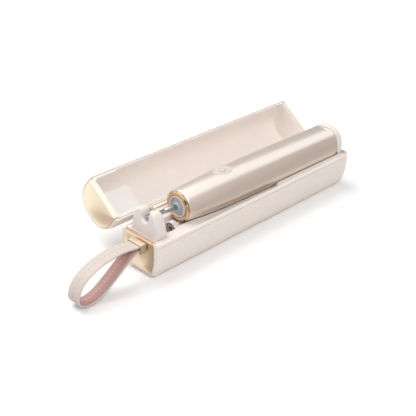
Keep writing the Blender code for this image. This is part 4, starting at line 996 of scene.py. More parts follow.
@dataclass
class EndCap:
    """A pillowed metal cap at one end of one half, with a flat strip along the parting line."""

    shape: CaseShape
    half: Half
    end: End
    bulge: float = 1.4
    crown_power: float = 2.4
    crown_edge: float = 0.75
    crown_run: float = 0.985
    crown_rows: int = 26
    side_lip: float = 0.05
    corner_roll: float = 0.6
    socket_size: tuple[float, float] = (8.9, 3.2)
    cutter_margin: float = 2.0

    def outline(self) -> tuple[Array, Array]:
        """Draws the cap's outline inside the leather's band.

        Returns:
            The closed outline in (y, z), and a mark of 1 on the stretch along the rim.
        """
        case = self.shape
        section = case.section(self.half)
        height = section.height
        line, inward = case.wall_line(section, height - self.corner_roll)
        skin = line + inward * (section.band + SEAT_GAP)
        turn = np.radians(np.linspace(0, 90, 6))[1:]
        far = case.half_width - section.band - SEAT_GAP - self.corner_roll
        back = self.corner_roll * unit(turn) + [far, height - self.corner_roll]
        rim_y = np.linspace(far, -far, 26)[1:-1]
        rim = np.stack([rim_y, 0 * rim_y + height], -1)
        front = back[::-1] * [-1, 1]
        before = len(skin) + len(back) - 1
        marks = np.concatenate([np.zeros(before), np.ones(len(rim) + 1), np.zeros(len(front))])
        return np.concatenate([skin, back, rim, front]), marks

    def build(self, maker: Maker) -> None:
        """Makes the cap: straight sides, then a crown of height b (1 - s^p)^q at share s of the outline.

        Args:
            maker: what puts the pieces in.
        """
        case = self.shape
        outline, marks = self.outline()
        middle = (outline.min(axis=0) + outline.max(axis=0)) / 2
        share = 1 - np.linspace(0, 1, self.crown_rows) ** 2 * self.crown_run
        crown = self.bulge * (1 - share**self.crown_power) ** self.crown_edge
        edge = case.half_length - case.setback
        x = np.concatenate([[case.cap_inner_x, edge - self.side_lip], edge + crown]) * self.end.value
        share = np.concatenate([[1, 1], share])
        grid = carried(x, middle + (outline - middle) * share[:, None, None])
        slots = np.where(np.arange(len(x) - 1)[:, None] < 1, marks[None], 0)
        patch = sheet(grid, wrap_columns=True, capped=True, slots=slots.astype(int))
        node = f"{self.half.value}_end_cap_{self.end.name.lower()}"
        strip = Finish.STRIP if self.half is Half.BASE else Finish.PALE_GOLD
        place, body = case.placer(self.half), self.half.body
        made = maker.piece(f"{node}_pillow", patch, place, body, Finish.GOLD, [node], [strip])
        if self.half is Half.BASE and self.end is End.PORT:
            self.carve(made)

    def carve(self, cap: bpy.types.Object) -> None:
        """Cuts the flat oval mouth of the charging socket through the cap.

        Args:
            cap: the cap's object.
        """
        low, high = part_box("port_socket")
        middle = (low + high) / 2 / MM
        width, height = self.socket_size
        half = height / 2 + SEAT_GAP
        turn = np.radians(np.linspace(-90, 90, 13))
        right = half * unit(turn) + [(width - height) / 2, 0]
        outline = np.concatenate([right, -right]) + [0, middle.z]
        inside = self.shape.cap_inner_x - self.cutter_margin
        outside = self.shape.half_length + 2 * self.bulge
        grid = carried(np.array([inside, outside]), np.stack([outline, outline]))
        patch = sheet(grid * MM, wrap_columns=True, capped=True)
        mesh = bpy.data.meshes.new("socket_mouth")
        mesh.from_pydata(patch.points, [], [face for table in patch.tables for face in table.tolist()])
        cutter = bpy.data.objects.new("socket_mouth", mesh)
        bpy.context.scene.collection.objects.link(cutter)
        step = cap.modifiers.new("socket mouth", "BOOLEAN")
        step.operation, step.solver, step.object = "DIFFERENCE", "EXACT", cutter
        graph = bpy.context.evaluated_depsgraph_get()
        carved = bpy.data.meshes.new_from_object(cap.evaluated_get(graph))
        cap.modifiers.remove(step)
        cap.data = carved
        bpy.data.objects.remove(cutter)


@dataclass
class LidLiner:
    """The pale tray inside the lid, thicker near the strap end, with filleted end walls."""

    shape: CaseShape
    outer: float = 1.4
    inner: float = 2.3
    end_wall: float = 1.2
    pad: float = 1.2
    pad_length: float = 19.0
    pad_step: float = 0.25
    fillet: float = 2.6
    bead: float = 0.35
    seam: float = 0.05
    panel_reach: float = 39.0
    panel_half: float = 11.4
    panel_corner: float = 5.0
    panel_relief: float = 0.25
    panel_edge: float = 0.7

    @property
    def wall(self) -> float:
        """Distance of the end walls' inner faces from the middle."""
        return self.shape.inside_x - self.end_wall

    def offset(self, x: Array) -> Array:
        """Gives how far the lining's inner side lies in from the leather at x, more on the pad."""
        step = self.pad_length - self.wall
        return self.inner + self.pad * (1 - blend(x, step - self.pad_step, step + self.pad_step))

    def build_panel(self, maker: Maker) -> None:
        """Makes the thin panel on the lid's crown: a tongue with round corners that sinks at its edges.

        Its end lies at e - c (1 - sqrt(1 - s^2)), where s grows from 0 to 1 over the corner c. The lining
        under it has the height o + b (1 - sqrt(1 - u^2)), where o is its offset and u = (|y| - flat) / a.

        Args:
            maker: what puts the piece in.
        """
        quarter, section = math.pi / 2, self.shape.lid
        y = self.panel_half * np.sin(np.linspace(-quarter, quarter, 61))[:, None]
        share = np.clip((np.abs(y) - self.panel_half) / self.panel_corner + 1, 0, 1)
        ends = self.panel_reach - self.wall - self.panel_corner * (1 - np.sqrt(1 - share**2))
        step = self.pad_length - self.wall
        lead = np.linspace(step - self.pad_step, step + self.pad_step, 8)
        lead = np.concatenate([np.linspace(self.fillet - self.wall, lead[0], 6)[:-1], lead])
        tongue = lead[-1] + (ends - lead[-1]) * np.sin(np.linspace(0, quarter, 32))[1:]
        x = np.concatenate([np.broadcast_to(lead, (len(y), len(lead))), tongue], axis=1)
        inside = np.minimum(ends - x, self.panel_half - np.abs(y))
        rise = self.panel_relief * (2 * blend(inside, 0, self.panel_edge) - 1)
        offset, flat = self.offset(x), self.shape.half_width - section.bend_width
        share = np.clip((np.abs(y) - flat) / (section.bend_width - offset), 0, 1)
        floor = offset + (section.bend_height - offset) * (1 - np.sqrt(1 - share**2))
        upper = np.stack([x, y + 0 * x, floor + rise], -1)
        lower = np.stack([x, y + 0 * x, floor - 2 * self.panel_relief], -1)
        patch, place = slab(upper, lower), self.shape.placer(Half.LID)
        # The pad panel takes the pure white finish: painted light that makes it read paler than the lining.
        maker.piece("lid_pad_panel_painted_pale", patch, place, Body.LID, Finish.WHITE, finish=Finish.RIM)

    def build(self, maker: Maker) -> None:
        """Makes the liner: end walls, fillets and the step of the pad.

        A fillet at depth r (1 - cos t) from its end wall has the offset r (1 - sin t).

        Args:
            maker: what puts the pieces in.
        """
        case = self.shape
        wall, step_x = self.wall, self.pad_length - self.wall
        t = np.linspace(0, math.pi / 2, 10)
        x = np.concatenate(
            [
                [-case.inside_x, -wall],
                self.fillet * (1 - np.cos(t)) - wall,
                np.linspace(self.fillet - wall, step_x - self.pad_step, 8)[1:],
                np.linspace(step_x - self.pad_step, step_x + self.pad_step, 8)[1:-1],
                np.linspace(step_x + self.pad_step, wall - self.fillet, 34)[:-1],
                wall - self.fillet * (1 - np.cos(t[::-1])),
                [wall, case.inside_x],
            ]
        )
        depth = np.clip(self.fillet - (wall - np.abs(x)), 0, self.fillet)
        round_in = self.fillet - np.sqrt(self.fillet**2 - depth**2)
        lift = np.zeros(len(x))
        lift[[0, 1, -2, -1]] = 1
        stations = np.stack([x, 0 * x + self.outer, self.offset(x) + round_in, lift], -1)
        grid = case.trough_loops(case.lid, stations, self.bead)
        # The rim bead takes the pure white finish: a painted highlight along the lid's edge.
        edge = case.lid.height - grid[:-1, :, 2] < self.bead + self.seam
        edge[1:-1] &= np.abs(grid[1:-2, :, 1]) > case.half_width - self.inner - self.seam
        patch = sheet(grid, wrap_columns=True, capped=True, slots=edge.astype(int))
        place, nodes, more = case.placer(Half.LID), ["lid_liner"], [Finish.RIM]
        maker.piece("lid_lining_tray", patch, place, Body.LID, Finish.WHITE, nodes, more, Finish.LINER)
        self.build_panel(maker)


@dataclass(frozen=True)
class HandleShape:
    """The handle's body, which swells out of a round nose to a soft square end, and its shaft."""

    nose: tuple[float, float, float]
    tilt: float = math.radians(1.0)
    length: float = 167.3
    front: float = 1.9
    nose_radius: float = 12.3
    radius: float = 14.5
    taper: float = 52.0
    nose_power: float = 2.0
    end_power: float = 2.5
    wall: float = 1.6
    shaft_lean: float = math.radians(4.0)
    shaft_radius: float = 1.9

    def half(self, x: Array) -> Array:
        """Gives the half size at x: R - (R - n) (1 - (x - front) / taper)^2, with the bracket held over 0."""
        left = 1 - np.clip((x - self.front) / self.taper, 0, 1)
        return self.radius - (self.radius - self.nose_radius) * left**2

    def power(self, x: Array) -> Array:
        """Gives the superellipse's power at x, which grows evenly from nose to end."""
        return self.nose_power + (self.end_power - self.nose_power) * np.clip(x / self.length, 0, 1)

    def rings(self, x: Array, depth: Array, columns: int = 160) -> Array:
        """Draws superellipses |y|^n + |z|^n = (half - depth)^n.

        Args:
            x: place of each ring.
            depth: how far each ring lies under the surface.
            columns: points on a ring.

        Returns:
            Points as rings, columns and 3.
        """
        x, depth = np.asarray(x, float)[:, None], np.asarray(depth, float)[:, None]
        angles = full_turn(columns)
        cos, sin, power = np.cos(angles), np.sin(angles), 2 / self.power(x)
        size = self.half(x) - depth
        y = size * np.sign(cos) * np.abs(cos) ** power
        z = size * np.sign(sin) * np.abs(sin) ** power
        return np.stack([np.broadcast_to(x, y.shape), y, z], -1)

    def top(self, x: Array, y: Array) -> Array:
        """Gives the height of the upper surface above the axis: h (1 - (|y| / h)^n)^(1/n)."""
        half, power = self.half(x), self.power(x)
        return half * (1 - np.minimum(np.abs(y) / half, 1) ** power) ** (1 / power)


@dataclass
class Tray:
    """The moulded tray in the base, with the shaft's cradle and the rest behind the handle."""

    shape: CaseShape
    handle: HandleShape
    brush: BrushHead
    step: float = 0.5
    wall: float = 1.4
    side_offset: float = 1.8
    inner_offset: float = 3.5
    deck_below_rim: float = 0.8
    lip_above_rim: float = 0.6
    side_wall: float = 0.7
    clearance: float = 0.4
    scallop_start: float = 4.6
    scallop_length: float = 86.0
    scallop_depth: float = 7.0
    scallop_run_in: float = 20.0
    scallop_ramp: float = 3.0
    scallop_inner: float = 7.0
    scallop_outer: float = 2.0
    well_setback: float = 1.0
    well_slope: float = 6.0
    well_half: float = 7.2
    well_edge: float = 2.0
    groove_half: float = 6.7
    groove_end_gap: float = 1.5
    groove_lead: float = 6.0
    groove_slope: float = 4.0
    groove_head_depth: float = 12.7
    groove_square: float = 8.0
    face_margin: float = 2.0
    moulded_radius: float = 0.55
    cradle_setback: float = 1.2
    cradle_length: float = 10.6
    cradle_half: float = 13.6
    cradle_notch: float = 3.6
    cradle_power: float = 0.82
    cradle_edge: float = 1.9
    cradle_lean: float = 2.6
    above_shaft: float = 7.9
    ear_radius: float = 3.0
    ear_start: float = math.radians(50.0)
    rest_margin: float = 0.4
    rest_edge: float = 0.9
    rest_foot: float = 1.0
    rest_corner: float = 0.4

    @property
    def deck(self) -> float:
        """Height of the deck."""
        return self.shape.base.height - self.deck_below_rim

    def underside(self, x: Array, y: Array) -> Array:
        """Gives the lowest clear surface under the handle, and a great height beside it.

        Args:
            x: places along the case.
            y: places across it.

        Returns:
            Heights.
        """
        body = self.handle
        along = x - body.nose[0]
        half = body.half(along) + self.clearance
        power = body.power(along)
        drop = half * (1 - np.minimum(np.abs(y) / half, 1) ** power) ** (1 / power)
        axis = body.nose[2] - along * math.tan(body.tilt)
        beyond = np.abs(along - body.length / 2) - body.length / 2
        return np.where((np.abs(y) < half) & (beyond < self.clearance), axis - drop, body.length)

    def top(self, x: Array, y: Array) -> Array:
        """Gives the tray's upper surface: deck, lip, handle trough, finger scallop, well and brush groove.

        Args:
            x: places along the case.
            y: places across it.

        Returns:
            Heights.
        """
        inner = self.shape.half_width - self.inner_offset
        start = self.handle.nose[0] + self.scallop_start
        end = start + self.scallop_length
        rest_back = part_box("end_rest")[1].x / MM
        lip = blend(x, end, end + self.scallop_ramp)
        raised = lip * blend(inner - np.abs(y), 0, self.side_wall) * (x <= rest_back + self.step / 2)
        top = self.deck + raised * (self.deck_below_rim + self.lip_above_rim)
        span = blend(x, start, start + self.scallop_run_in) * (1 - lip)
        reach = self.handle.radius
        scoop = self.scallop_depth * span * blend(-y, reach - self.scallop_inner, reach - self.scallop_outer)
        top = top - scoop * blend(inner + y, self.side_wall, 2 * self.side_wall)
        top = np.minimum(top, self.underside(x, y))
        brush, spot = self.brush, self.brush.place.origin
        along = x - spot[0]
        axis = spot[2] - along * math.tan(brush.place.lean)
        ramp = brush.length - brush.head_length - self.groove_lead
        head = blend(along, ramp, ramp + self.groove_slope)
        depth = self.groove_half + head * (self.groove_head_depth - self.groove_half)
        square = 2 + self.groove_square * head
        share = np.minimum(np.abs(y) / self.groove_half, 1)
        floor = axis - depth * (1 - share**square) ** (1 / square)
        inside = (share < 1) & (along > -self.face_margin) & (along < brush.length + self.groove_end_gap)
        top = np.where(inside, np.minimum(top, np.minimum(floor, axis)), top)
        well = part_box("shaft_cradle")[1].x / MM + self.well_setback
        fill = 1 - blend(np.abs(y), self.well_half - self.well_edge, self.well_half + self.well_edge)
        fill = fill * blend(x, well, well + self.well_slope) * (along <= -self.face_margin)
        return top + (spot[2] - self.groove_half - top) * fill

    def smooth(self, heights: Array) -> Array:
        """Rounds the moulded edges by a short Gaussian mean along each axis.

        Args:
            heights: the field on the even grid.

        Returns:
            The field with soft edges.
        """
        reach = int(math.ceil(3 * self.moulded_radius / self.step))
        kernel = np.exp(-0.5 * (np.arange(-reach, reach + 1) * self.step / self.moulded_radius) ** 2)
        kernel /= kernel.sum()
        for axis in (0, 1):
            pad = [(reach, reach) if k == axis else (0, 0) for k in (0, 1)]
            wide = np.pad(heights, pad, mode="edge")
            count = heights.shape[axis]
            heights = sum(w * np.take(wide, np.arange(k, k + count), axis) for k, w in enumerate(kernel))
        return heights

    def build(self, maker: Maker) -> None:
        """Makes the tray, the cradle and the rest.

        Args:
            maker: what puts the pieces in.
        """
        side = self.shape.half_width - self.side_offset
        x, y = (np.linspace(-h, h, int(2 * h / self.step) + 1) for h in (self.shape.inside_x, side))
        x, y = np.meshgrid(x, y, indexing="ij")
        top = self.smooth(self.top(x, y))
        reach = int(round(self.wall / self.step))
        near = np.pad(top, reach, mode="edge")
        shifts = [(a, b) for a in (0, reach, 2 * reach) for b in (0, reach, 2 * reach)]
        rows, columns = top.shape
        under = np.min([near[a : a + rows, b : b + columns] for a, b in shifts], axis=0) - self.wall
        patch = slab(np.stack([x, y, top], -1), np.stack([x, y, under], -1))
        maker.piece("moulded_tray", patch, metres, Body.BASE, Finish.WHITE, ["base_tray"])
        self.build_cradle(maker)
        self.build_rest(maker)

    def build_cradle(self, maker: Maker) -> None:
        """Makes the leaning block that the shaft lies in: an arch, round ears and a notch.

        The arch is (w cos(a)^p, h sin(a)^p), up to where an ear's circle takes over.

        Args:
            maker: what puts the pieces in.
        """
        front = self.cradle_setback - self.shape.inside_x
        back, foot = front + self.cradle_length, self.deck + SEAT_GAP
        slope = math.tan(self.handle.tilt + self.handle.shaft_lean)
        shaft = self.handle.nose[2] + (self.handle.nose[0] - (front + back) / 2) * slope
        rise = shaft + self.above_shaft - foot
        bed = shaft - self.handle.shaft_radius - SEAT_GAP - slope * self.cradle_length / 2
        ear_y = self.cradle_notch + self.ear_radius
        join = (ear_y + self.ear_radius * math.cos(self.ear_start)) / self.cradle_half
        a = np.linspace(0, math.acos(join ** (1 / self.cradle_power)), 40)
        arch = np.array([self.cradle_half, rise]) * unit(a) ** self.cradle_power + [0, foot]
        ear_z = arch[-1, 1] - self.ear_radius * math.sin(self.ear_start)
        turn = np.linspace(self.ear_start, math.pi, 24)[1:]
        half = np.concatenate([arch, self.ear_radius * unit(turn) + [ear_y, ear_z]])
        dip = self.cradle_notch * unit(np.linspace(0, -math.pi, 32)) + [0, bed + self.cradle_notch]
        outline = np.concatenate([half, dip, half[::-1] * [-1, 1]])
        weight = blend(outline[:, 1], foot, foot + self.cradle_edge)
        patch = rounded_prism(outline, front, back, self.cradle_edge, weight)
        x, z = patch.points[:, 0], patch.points[:, 2]
        patch.points[:, 0] = x + self.cradle_lean * (z - foot) / rise * (back - x) / self.cradle_length
        maker.piece("shaft_cradle_block", patch, metres, Body.BASE, Finish.WHITE, ["shaft_cradle"])

    def build_rest(self, maker: Maker) -> None:
        """Makes the arch behind the handle's end from a superellipse with a straight foot.

        Args:
            maker: what puts the pieces in.
        """
        low, high = (np.array(corner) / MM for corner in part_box("end_rest"))
        axis = self.handle.nose[2] - self.handle.length * math.sin(self.handle.tilt)
        half, power = self.handle.radius + self.rest_margin, self.handle.end_power
        a = np.linspace(0, math.pi, 80)
        y = half * np.sign(np.cos(a)) * np.abs(np.cos(a)) ** (2 / power)
        z = np.maximum(axis + half * np.sin(a) ** (2 / power), low[2] + self.rest_foot)
        foot = np.array([[-half, low[2]], [half, low[2]]])
        outline = soften(np.concatenate([np.stack([y, z], -1), foot]), self.rest_corner, 3)
        patch = rounded_prism(outline, low[0], high[0], self.rest_edge)
        maker.piece("end_rest_arch", patch, metres, Body.BASE, Finish.WHITE, ["end_rest"])


@dataclass
class WristStrap:
    """The strap's cream leather, its mauve lining, their stitches and the bracket that holds them."""

    shape: CaseShape
    width: float = 11.8
    leather: float = 1.3
    leather_edge: float = 0.55
    lining: float = 0.8
    lining_width: float = 9.6
    lining_edge: float = 0.35
    lining_bury: float = 0.02
    lining_trim: int = 5
    centre_y: float = -3.6
    reach: float = 55.4
    bend_height: float = 8.0
    bend_run: float = 10.7
    upper_pull: float = 19.0
    upper_lift: float = 5.4
    fall_pull: float = 18.0
    bend_pull: float = 5.0
    floor_pull: float = 12.0
    lower_pull: float = 11.0
    lower_drop: float = 4.3
    bracket_wall: float = 1.0
    bracket_edge: float = 0.7
    bracket_corner: float = 1.2
    stitch_pitch: float = 3.0
    outer_stitch: tuple[float, float] = (1.9, 0.25)
    inner_stitch: tuple[float, float] = (2.3, 0.34)

    @staticmethod
    def bezier(start: Array, pull: Array, push: Array, end: Array, count: int) -> Array:
        """Draws a cubic curve up to, but not including, its end.

        Args:
            start: first point.
            pull: guide of the first point.
            push: guide of the last point.
            end: last point.
            count: number of points.

        Returns:
            The points u^3 a + 3 u^2 t b + 3 u t^2 c + t^3 d, with u = 1 - t.
        """
        t = np.linspace(0, 1, count, endpoint=False)[:, None]
        u = 1 - t
        a, b, c, d = (np.asarray(p, float) for p in (start, pull, push, end))
        return u**3 * a + 3 * u**2 * t * b + 3 * u * t**2 * c + t**3 * d

    def line(self) -> Array:
        """Draws the strap's centre line in (x, z): out of the bracket, over, round the bend and back.

        Returns:
            The points of the loop.
        """
        low, high = (np.array(corner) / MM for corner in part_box("strap_bracket"))
        depth = high[0] - low[0]
        start_x = -self.shape.half_length - EndCap.bulge - depth / 2
        mouth = start_x - depth / 2 - self.leather
        tuck = self.bracket_wall + SEAT_GAP + self.leather / 2
        upper, lower = (mouth, high[2] - tuck), (mouth, low[2] + tuck)
        far = (start_x - self.reach, self.bend_height)
        floor = (far[0] + self.bend_run, self.leather)
        rising = (mouth - self.upper_pull, upper[1] + self.upper_lift)
        falling = (far[0], far[1] + self.fall_pull)
        bending = (far[0], far[1] - self.bend_pull)
        landing = (floor[0] - self.bend_pull, floor[1])
        lying = (floor[0] + self.floor_pull, floor[1])
        returning = (mouth - self.lower_pull, lower[1] - self.lower_drop)
        strands = [
            self.bezier((start_x, upper[1]), (start_x, upper[1]), upper, upper, 4),
            self.bezier(upper, rising, falling, far, 70),
            self.bezier(far, bending, landing, floor, 30),
            self.bezier(floor, lying, returning, lower, 70),
            np.array([lower, (start_x, lower[1])]),
        ]
        return np.concatenate(strands)

    def layer(self, inner: float, outer: float, width: float, edge: float, trim: int = 0) -> Patch:
        """Carries a rounded flat section along the centre line.

        Args:
            inner: distance of the near face outside the line.
            outer: distance of the far face.
            width: size across the strap.
            edge: rounding of the section's corners.
            trim: stations left off at each end.

        Returns:
            The closed layer.
        """
        line = self.line()
        outward = self.outward(line)
        section = soften(rectangle((-width / 2, inner), (width / 2, outer)), edge, 6)
        last = len(line) - trim
        flat = line[trim:last, None] + outward[trim:last, None] * section[None, :, 1:]
        across = np.broadcast_to(self.centre_y + section[None, :, 0], flat.shape[:2])
        return sheet(np.stack([flat[..., 0], across, flat[..., 1]], -1), wrap_columns=True, capped=True)

    @staticmethod
    def outward(line: Array) -> Array:
        """Turns the line's direction a quarter turn, to point out of the loop.

        Args:
            line: points in (x, z).

        Returns:
            Unit vectors in (x, z).
        """
        along = np.gradient(line, axis=0)
        along /= np.linalg.norm(along, axis=1, keepdims=True)
        return np.stack([along[:, 1], -along[:, 0]], -1)

    def seam(self, distance: float, size: tuple[float, float], trim: int = 6) -> Patch:
        """Lays stitches along the middle of a face.

        Args:
            distance: how far outside the centre line the face lies.
            size: length and radius of a stitch.
            trim: points left off at each end.

        Returns:
            All the stitches.
        """
        line = self.line()
        path = line + self.outward(line) * distance
        path = path[trim : len(path) - trim]
        points = np.stack([path[:, 0], np.full(len(path), self.centre_y), path[:, 1]], -1)
        return stitches(points, self.stitch_pitch, size)

    def build(self, maker: Maker) -> None:
        """Makes the strap and its bracket.

        Args:
            maker: what puts the pieces in.
        """
        half = self.leather / 2
        strap = self.layer(-half, half, self.width, self.leather_edge)
        nodes = ["wrist_strap"]
        maker.piece("strap_leather", strap, metres, Body.BASE, Finish.LEATHER, nodes, finish=Finish.STRAP)
        back = -half - SEAT_GAP - self.lining
        front = self.lining_bury - half
        lining = self.layer(back, front, self.lining_width, self.lining_edge, self.lining_trim)
        maker.piece("strap_mauve_lining", lining, metres, Body.BASE, Finish.MAUVE, ["strap_lining"])
        outer = self.seam(half - self.outer_stitch[1] / 2, self.outer_stitch)
        inner = self.seam(back + self.inner_stitch[1] / 2, self.inner_stitch)
        # The outer stitches take the darker thread colour, which is painted shade of the stitch holes.
        maker.piece("strap_outer_thread", outer, metres, Body.BASE, Finish.LEATHER, finish=Finish.SEAM)
        maker.piece("strap_inner_thread", inner, metres, Body.BASE, Finish.LEATHER, finish=Finish.THREAD)
        self.build_bracket(maker)

    def build_bracket(self, maker: Maker) -> None:
        """Makes the bracket as a rounded box with a slot from its outer side.

        Args:
            maker: what puts the pieces in.
        """
        low, high = (np.array(corner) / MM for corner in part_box("strap_bracket"))
        outline = soften(rectangle(low[1:], high[1:]), self.bracket_corner, 9)
        edge, wall = self.bracket_edge, self.bracket_wall
        t = np.linspace(0, math.pi / 2, 6)
        lip, lip_x = (wall / 2 * (1 - unit(np.linspace(0, math.pi, 9)))).T + [[0], [low[0]]]
        depths = np.concatenate([edge * (1 - np.sin(t)), lip, [wall]])
        x = np.concatenate([high[0] - edge * (1 - np.cos(t)), lip_x, [high[0] - wall]])
        patch = sheet(carried(x, inset(outline, depths)), wrap_columns=True, capped=True)
        nodes = ["strap_bracket"]
        maker.piece("strap_bracket_box", patch, metres, Body.BASE, Finish.ROSE, nodes, finish=Finish.TAN)


@dataclass
class Handle:
    """The handle's housing, end cap, nose, button panel, button and drive shaft."""

    shape: HandleShape
    edge: float = 0.6
    rear: float = 164.02
    spigot_radius: float = 10.8
    spigot_end: float = 5.0
    ring_radius: float = 11.9
    ring_face: float = 10.5
    ring_bore: float = 8.5
    ring_depth: float = 1.6
    ring_chamfer: float = 0.9
    collar_wall: float = 1.2
    collar_proud: float = 0.2
    seal_lip: float = 1.1
    seal_gap: float = 0.1
    seal_sink: float = 0.3
    seal_foot: float = 1.6
    seal_thickness: float = 2.4
    seal_rim: float = 0.5
    ring_round: float = 0.18
    collar_round: float = 0.3
    seal_round: float = 0.45
    shaft_reach: float = 28.9
    shaft_end: float = 34.0
    flat_length: float = 17.0
    flat_height: float = 0.8
    shaft_chamfer: float = 0.5
    button_x: float = 45.5
    button_radius: float = 3.1
    button_proud: float = 0.3
    dish_depth: float = 0.22
    panel_half: tuple[float, float] = (8.4, 6.0)
    panel_egg: float = 0.2
    panel_proud: float = 0.18
    panel_sink: float = 0.9
    nose_crowding: float = 1.4
    cap_plate: float = 3.2
    cap_step: float = 0.2
    cap_face: float = 0.9
    cap_spigot: float = 5.6
    cap_fillet: float = 1.6
    cap_wall: float = 1.2

    def build(self, maker: Maker) -> None:
        """Makes all the pieces of the handle.

        Args:
            maker: what puts the pieces in.
        """
        place = Tilted(self.shape.nose, self.shape.tilt)
        self.build_housing(maker, place)
        self.build_nose(maker, place)
        self.build_button(maker, place)
        self.build_shaft(maker)

    def build_housing(self, maker: Maker, place: Tilted) -> None:
        """Makes the tube and the end cap from superellipses with quarter-round edges.

        Args:
            maker: what puts the pieces in.
            place: the handle's frame.
        """
        body = self.shape
        t = np.linspace(0, math.pi / 2, 7)
        share = np.linspace(0, 1, 40)[1:] ** self.nose_crowding
        swell = body.front + self.edge + (body.taper - self.edge) * share
        run = np.linspace(body.front + body.taper, self.rear - self.edge / 2, 34)[1:]
        nose, rear = body.front + self.edge * (1 - np.cos(t)), self.rear - self.edge / 2 * (1 - np.sin(t))
        x = [nose, swell, run, rear]
        depth = [self.edge * (1 - np.sin(t)), 0 * swell, 0 * run, self.edge / 2 * (1 - np.cos(t))]
        bore = body.nose_radius - self.spigot_radius - SEAT_GAP
        x += [[self.rear, self.spigot_end + body.wall, self.spigot_end + body.wall, body.front]]
        depth += [[body.wall, body.wall, bore, bore]]
        grid = body.rings(np.concatenate(x), np.concatenate(depth))
        patch = sheet(grid, wrap_rows=True, wrap_columns=True)
        maker.piece("handle_tube", patch, place, Body.HANDLE, Finish.CHAMPAGNE, ["handle_housing"])
        plate = body.length - self.cap_plate
        spigot, step = body.wall + SEAT_GAP, self.cap_step
        x = np.concatenate(
            [
                [plate - self.cap_spigot, plate - self.cap_spigot, plate, plate],
                plate + step * (1 - np.cos(t)),
                body.length - self.cap_fillet * (1 - np.sin(t)),
                np.full(len(t) - 1, body.length),
            ]
        )
        side = [self.cap_wall + spigot, spigot, spigot, step]
        face = np.linspace(self.cap_fillet, body.radius * self.cap_face, len(t))[1:]
        depth = np.concatenate([side, step * (1 - np.sin(t)), self.cap_fillet * (1 - np.cos(t)), face])
        patch = sheet(body.rings(x, depth), wrap_columns=True, capped=True)
        maker.piece("handle_end_cap", patch, place, Body.HANDLE, Finish.CHAMPAGNE, ["end_cap"])

    def build_nose(self, maker: Maker, place: Tilted) -> None:
        """Makes the polished ring, the pale collar in it and the seal round the shaft.

        Args:
            maker: what puts the pieces in.
            place: the handle's frame.
        """
        ring = np.array(
            [
                [0, self.ring_bore],
                [0, self.ring_face],
                [self.ring_chamfer, self.ring_radius],
                [self.ring_depth, self.ring_radius],
                [self.ring_depth, self.spigot_radius],
                [self.spigot_end, self.spigot_radius],
                [self.spigot_end, self.ring_bore],
            ]
        )
        patch = turned(soften(ring, self.ring_round))
        maker.piece("nose_polished_ring", patch, place, Body.HANDLE, Finish.ROSE, ["nose_ring"])
        outer = self.ring_bore - SEAT_GAP
        inner = outer - self.collar_wall
        collar = np.array(
            [
                [-self.collar_proud, inner],
                [-self.collar_proud, outer],
                [self.spigot_end, outer],
                [self.spigot_end, inner],
            ]
        )
        patch = turned(soften(collar, self.collar_round))
        maker.piece("nose_pale_collar", patch, place, Body.HANDLE, Finish.WHITE, ["nose_collar"])
        bore = self.shape.shaft_radius + self.seal_gap
        seal = np.array(
            [
                [-self.seal_lip, bore],
                [-self.seal_lip, bore + self.seal_rim],
                [self.seal_sink, bore + self.seal_foot],
                [self.seal_sink, inner - SEAT_GAP],
                [self.seal_thickness, inner - SEAT_GAP],
                [self.seal_thickness, bore],
            ]
        )
        patch = turned(soften(seal, self.seal_round))
        maker.piece("shaft_cone_seal", patch, place, Body.HANDLE, Finish.GREY, ["shaft_seal"])

    def build_button(self, maker: Maker, place: Tilted) -> None:
        """Makes the egg-shaped panel on the housing's surface and the dished button in its middle.

        The panel's rows run from its round hole to the egg (a cos u, b sin u (1 + e cos u)).

        Args:
            maker: what puts the pieces in.
            place: the handle's frame.
        """
        u = full_turn(96)
        half_x, half_y = self.panel_half
        egg = np.stack([half_x * np.cos(u), half_y * np.sin(u) * (1 + self.panel_egg * np.cos(u))], -1)
        ring = (self.button_radius + SEAT_GAP) * unit(u)
        # Shares of the way from hole to egg, and heights there that round both edges and sink them.
        share = np.array([0, 0, 0.04, 0.1, 0.3, 0.5, 0.7, 0.88, 0.95, 0.985, 1, 1])
        lift = self.panel_proud * np.array([0, 0.5, 0.9, 1, 1, 1, 1, 1, 0.93, 0.7, 0, 0])
        lift[[0, -1]] = -self.panel_sink
        flat = ring + (egg - ring) * share[:, None, None]
        x, y = flat[..., 0] + self.button_x, flat[..., 1]
        grid = np.stack([x, y, self.shape.top(x, y) + lift[:, None]], -1)
        patch = sheet(grid, wrap_rows=True, wrap_columns=True)
        maker.piece("button_soft_panel", patch, place, Body.HANDLE, Finish.PANEL, ["button_panel"])
        crown = float(self.shape.top(np.array(self.button_x), np.array(0.0))) + self.button_proud
        skirt = crown - self.button_proud - self.shape.wall
        # Shares of the radius and heights, from the stem up the side, over the ring and down into the dish.
        profile = np.array(
            [
                [0.6, skirt - 1.2],
                [0.6, skirt],
                [1.0, skirt],
                [1.0, crown - 0.25],
                [0.98, crown - 0.1],
                [0.93, crown],
                [0.74, crown],
                [0.69, crown - 0.05],
                [0.65, crown - self.dish_depth],
                [0.4, crown - self.dish_depth * 1.15],
                [0.1, crown - self.dish_depth * 1.2],
            ]
        )
        radius, height = self.button_radius * profile[:, :1], profile[:, 1:]
        grid = np.stack([radius * np.cos(u) + self.button_x, radius * np.sin(u), height + 0 * u], -1)
        mark = (profile[:-1, 1] == crown) & (profile[1:, 1] == crown)
        patch = sheet(grid, wrap_columns=True, capped=True, slots=mark[:, None].astype(int))
        nodes = ["power_button"]
        maker.piece("button_dished_cap", patch, place, Body.BUTTON, Finish.PANEL, nodes, [Finish.GREY])

    def build_shaft(self, maker: Maker) -> None:
        """Makes the round shaft with its chamfered tip and the flat where the brush head locks.

        Args:
            maker: what puts the pieces in.
        """
        chamfer, radius = self.shaft_chamfer, self.shape.shaft_radius
        tip, flat_end = -self.shaft_reach, self.flat_length - self.shaft_reach
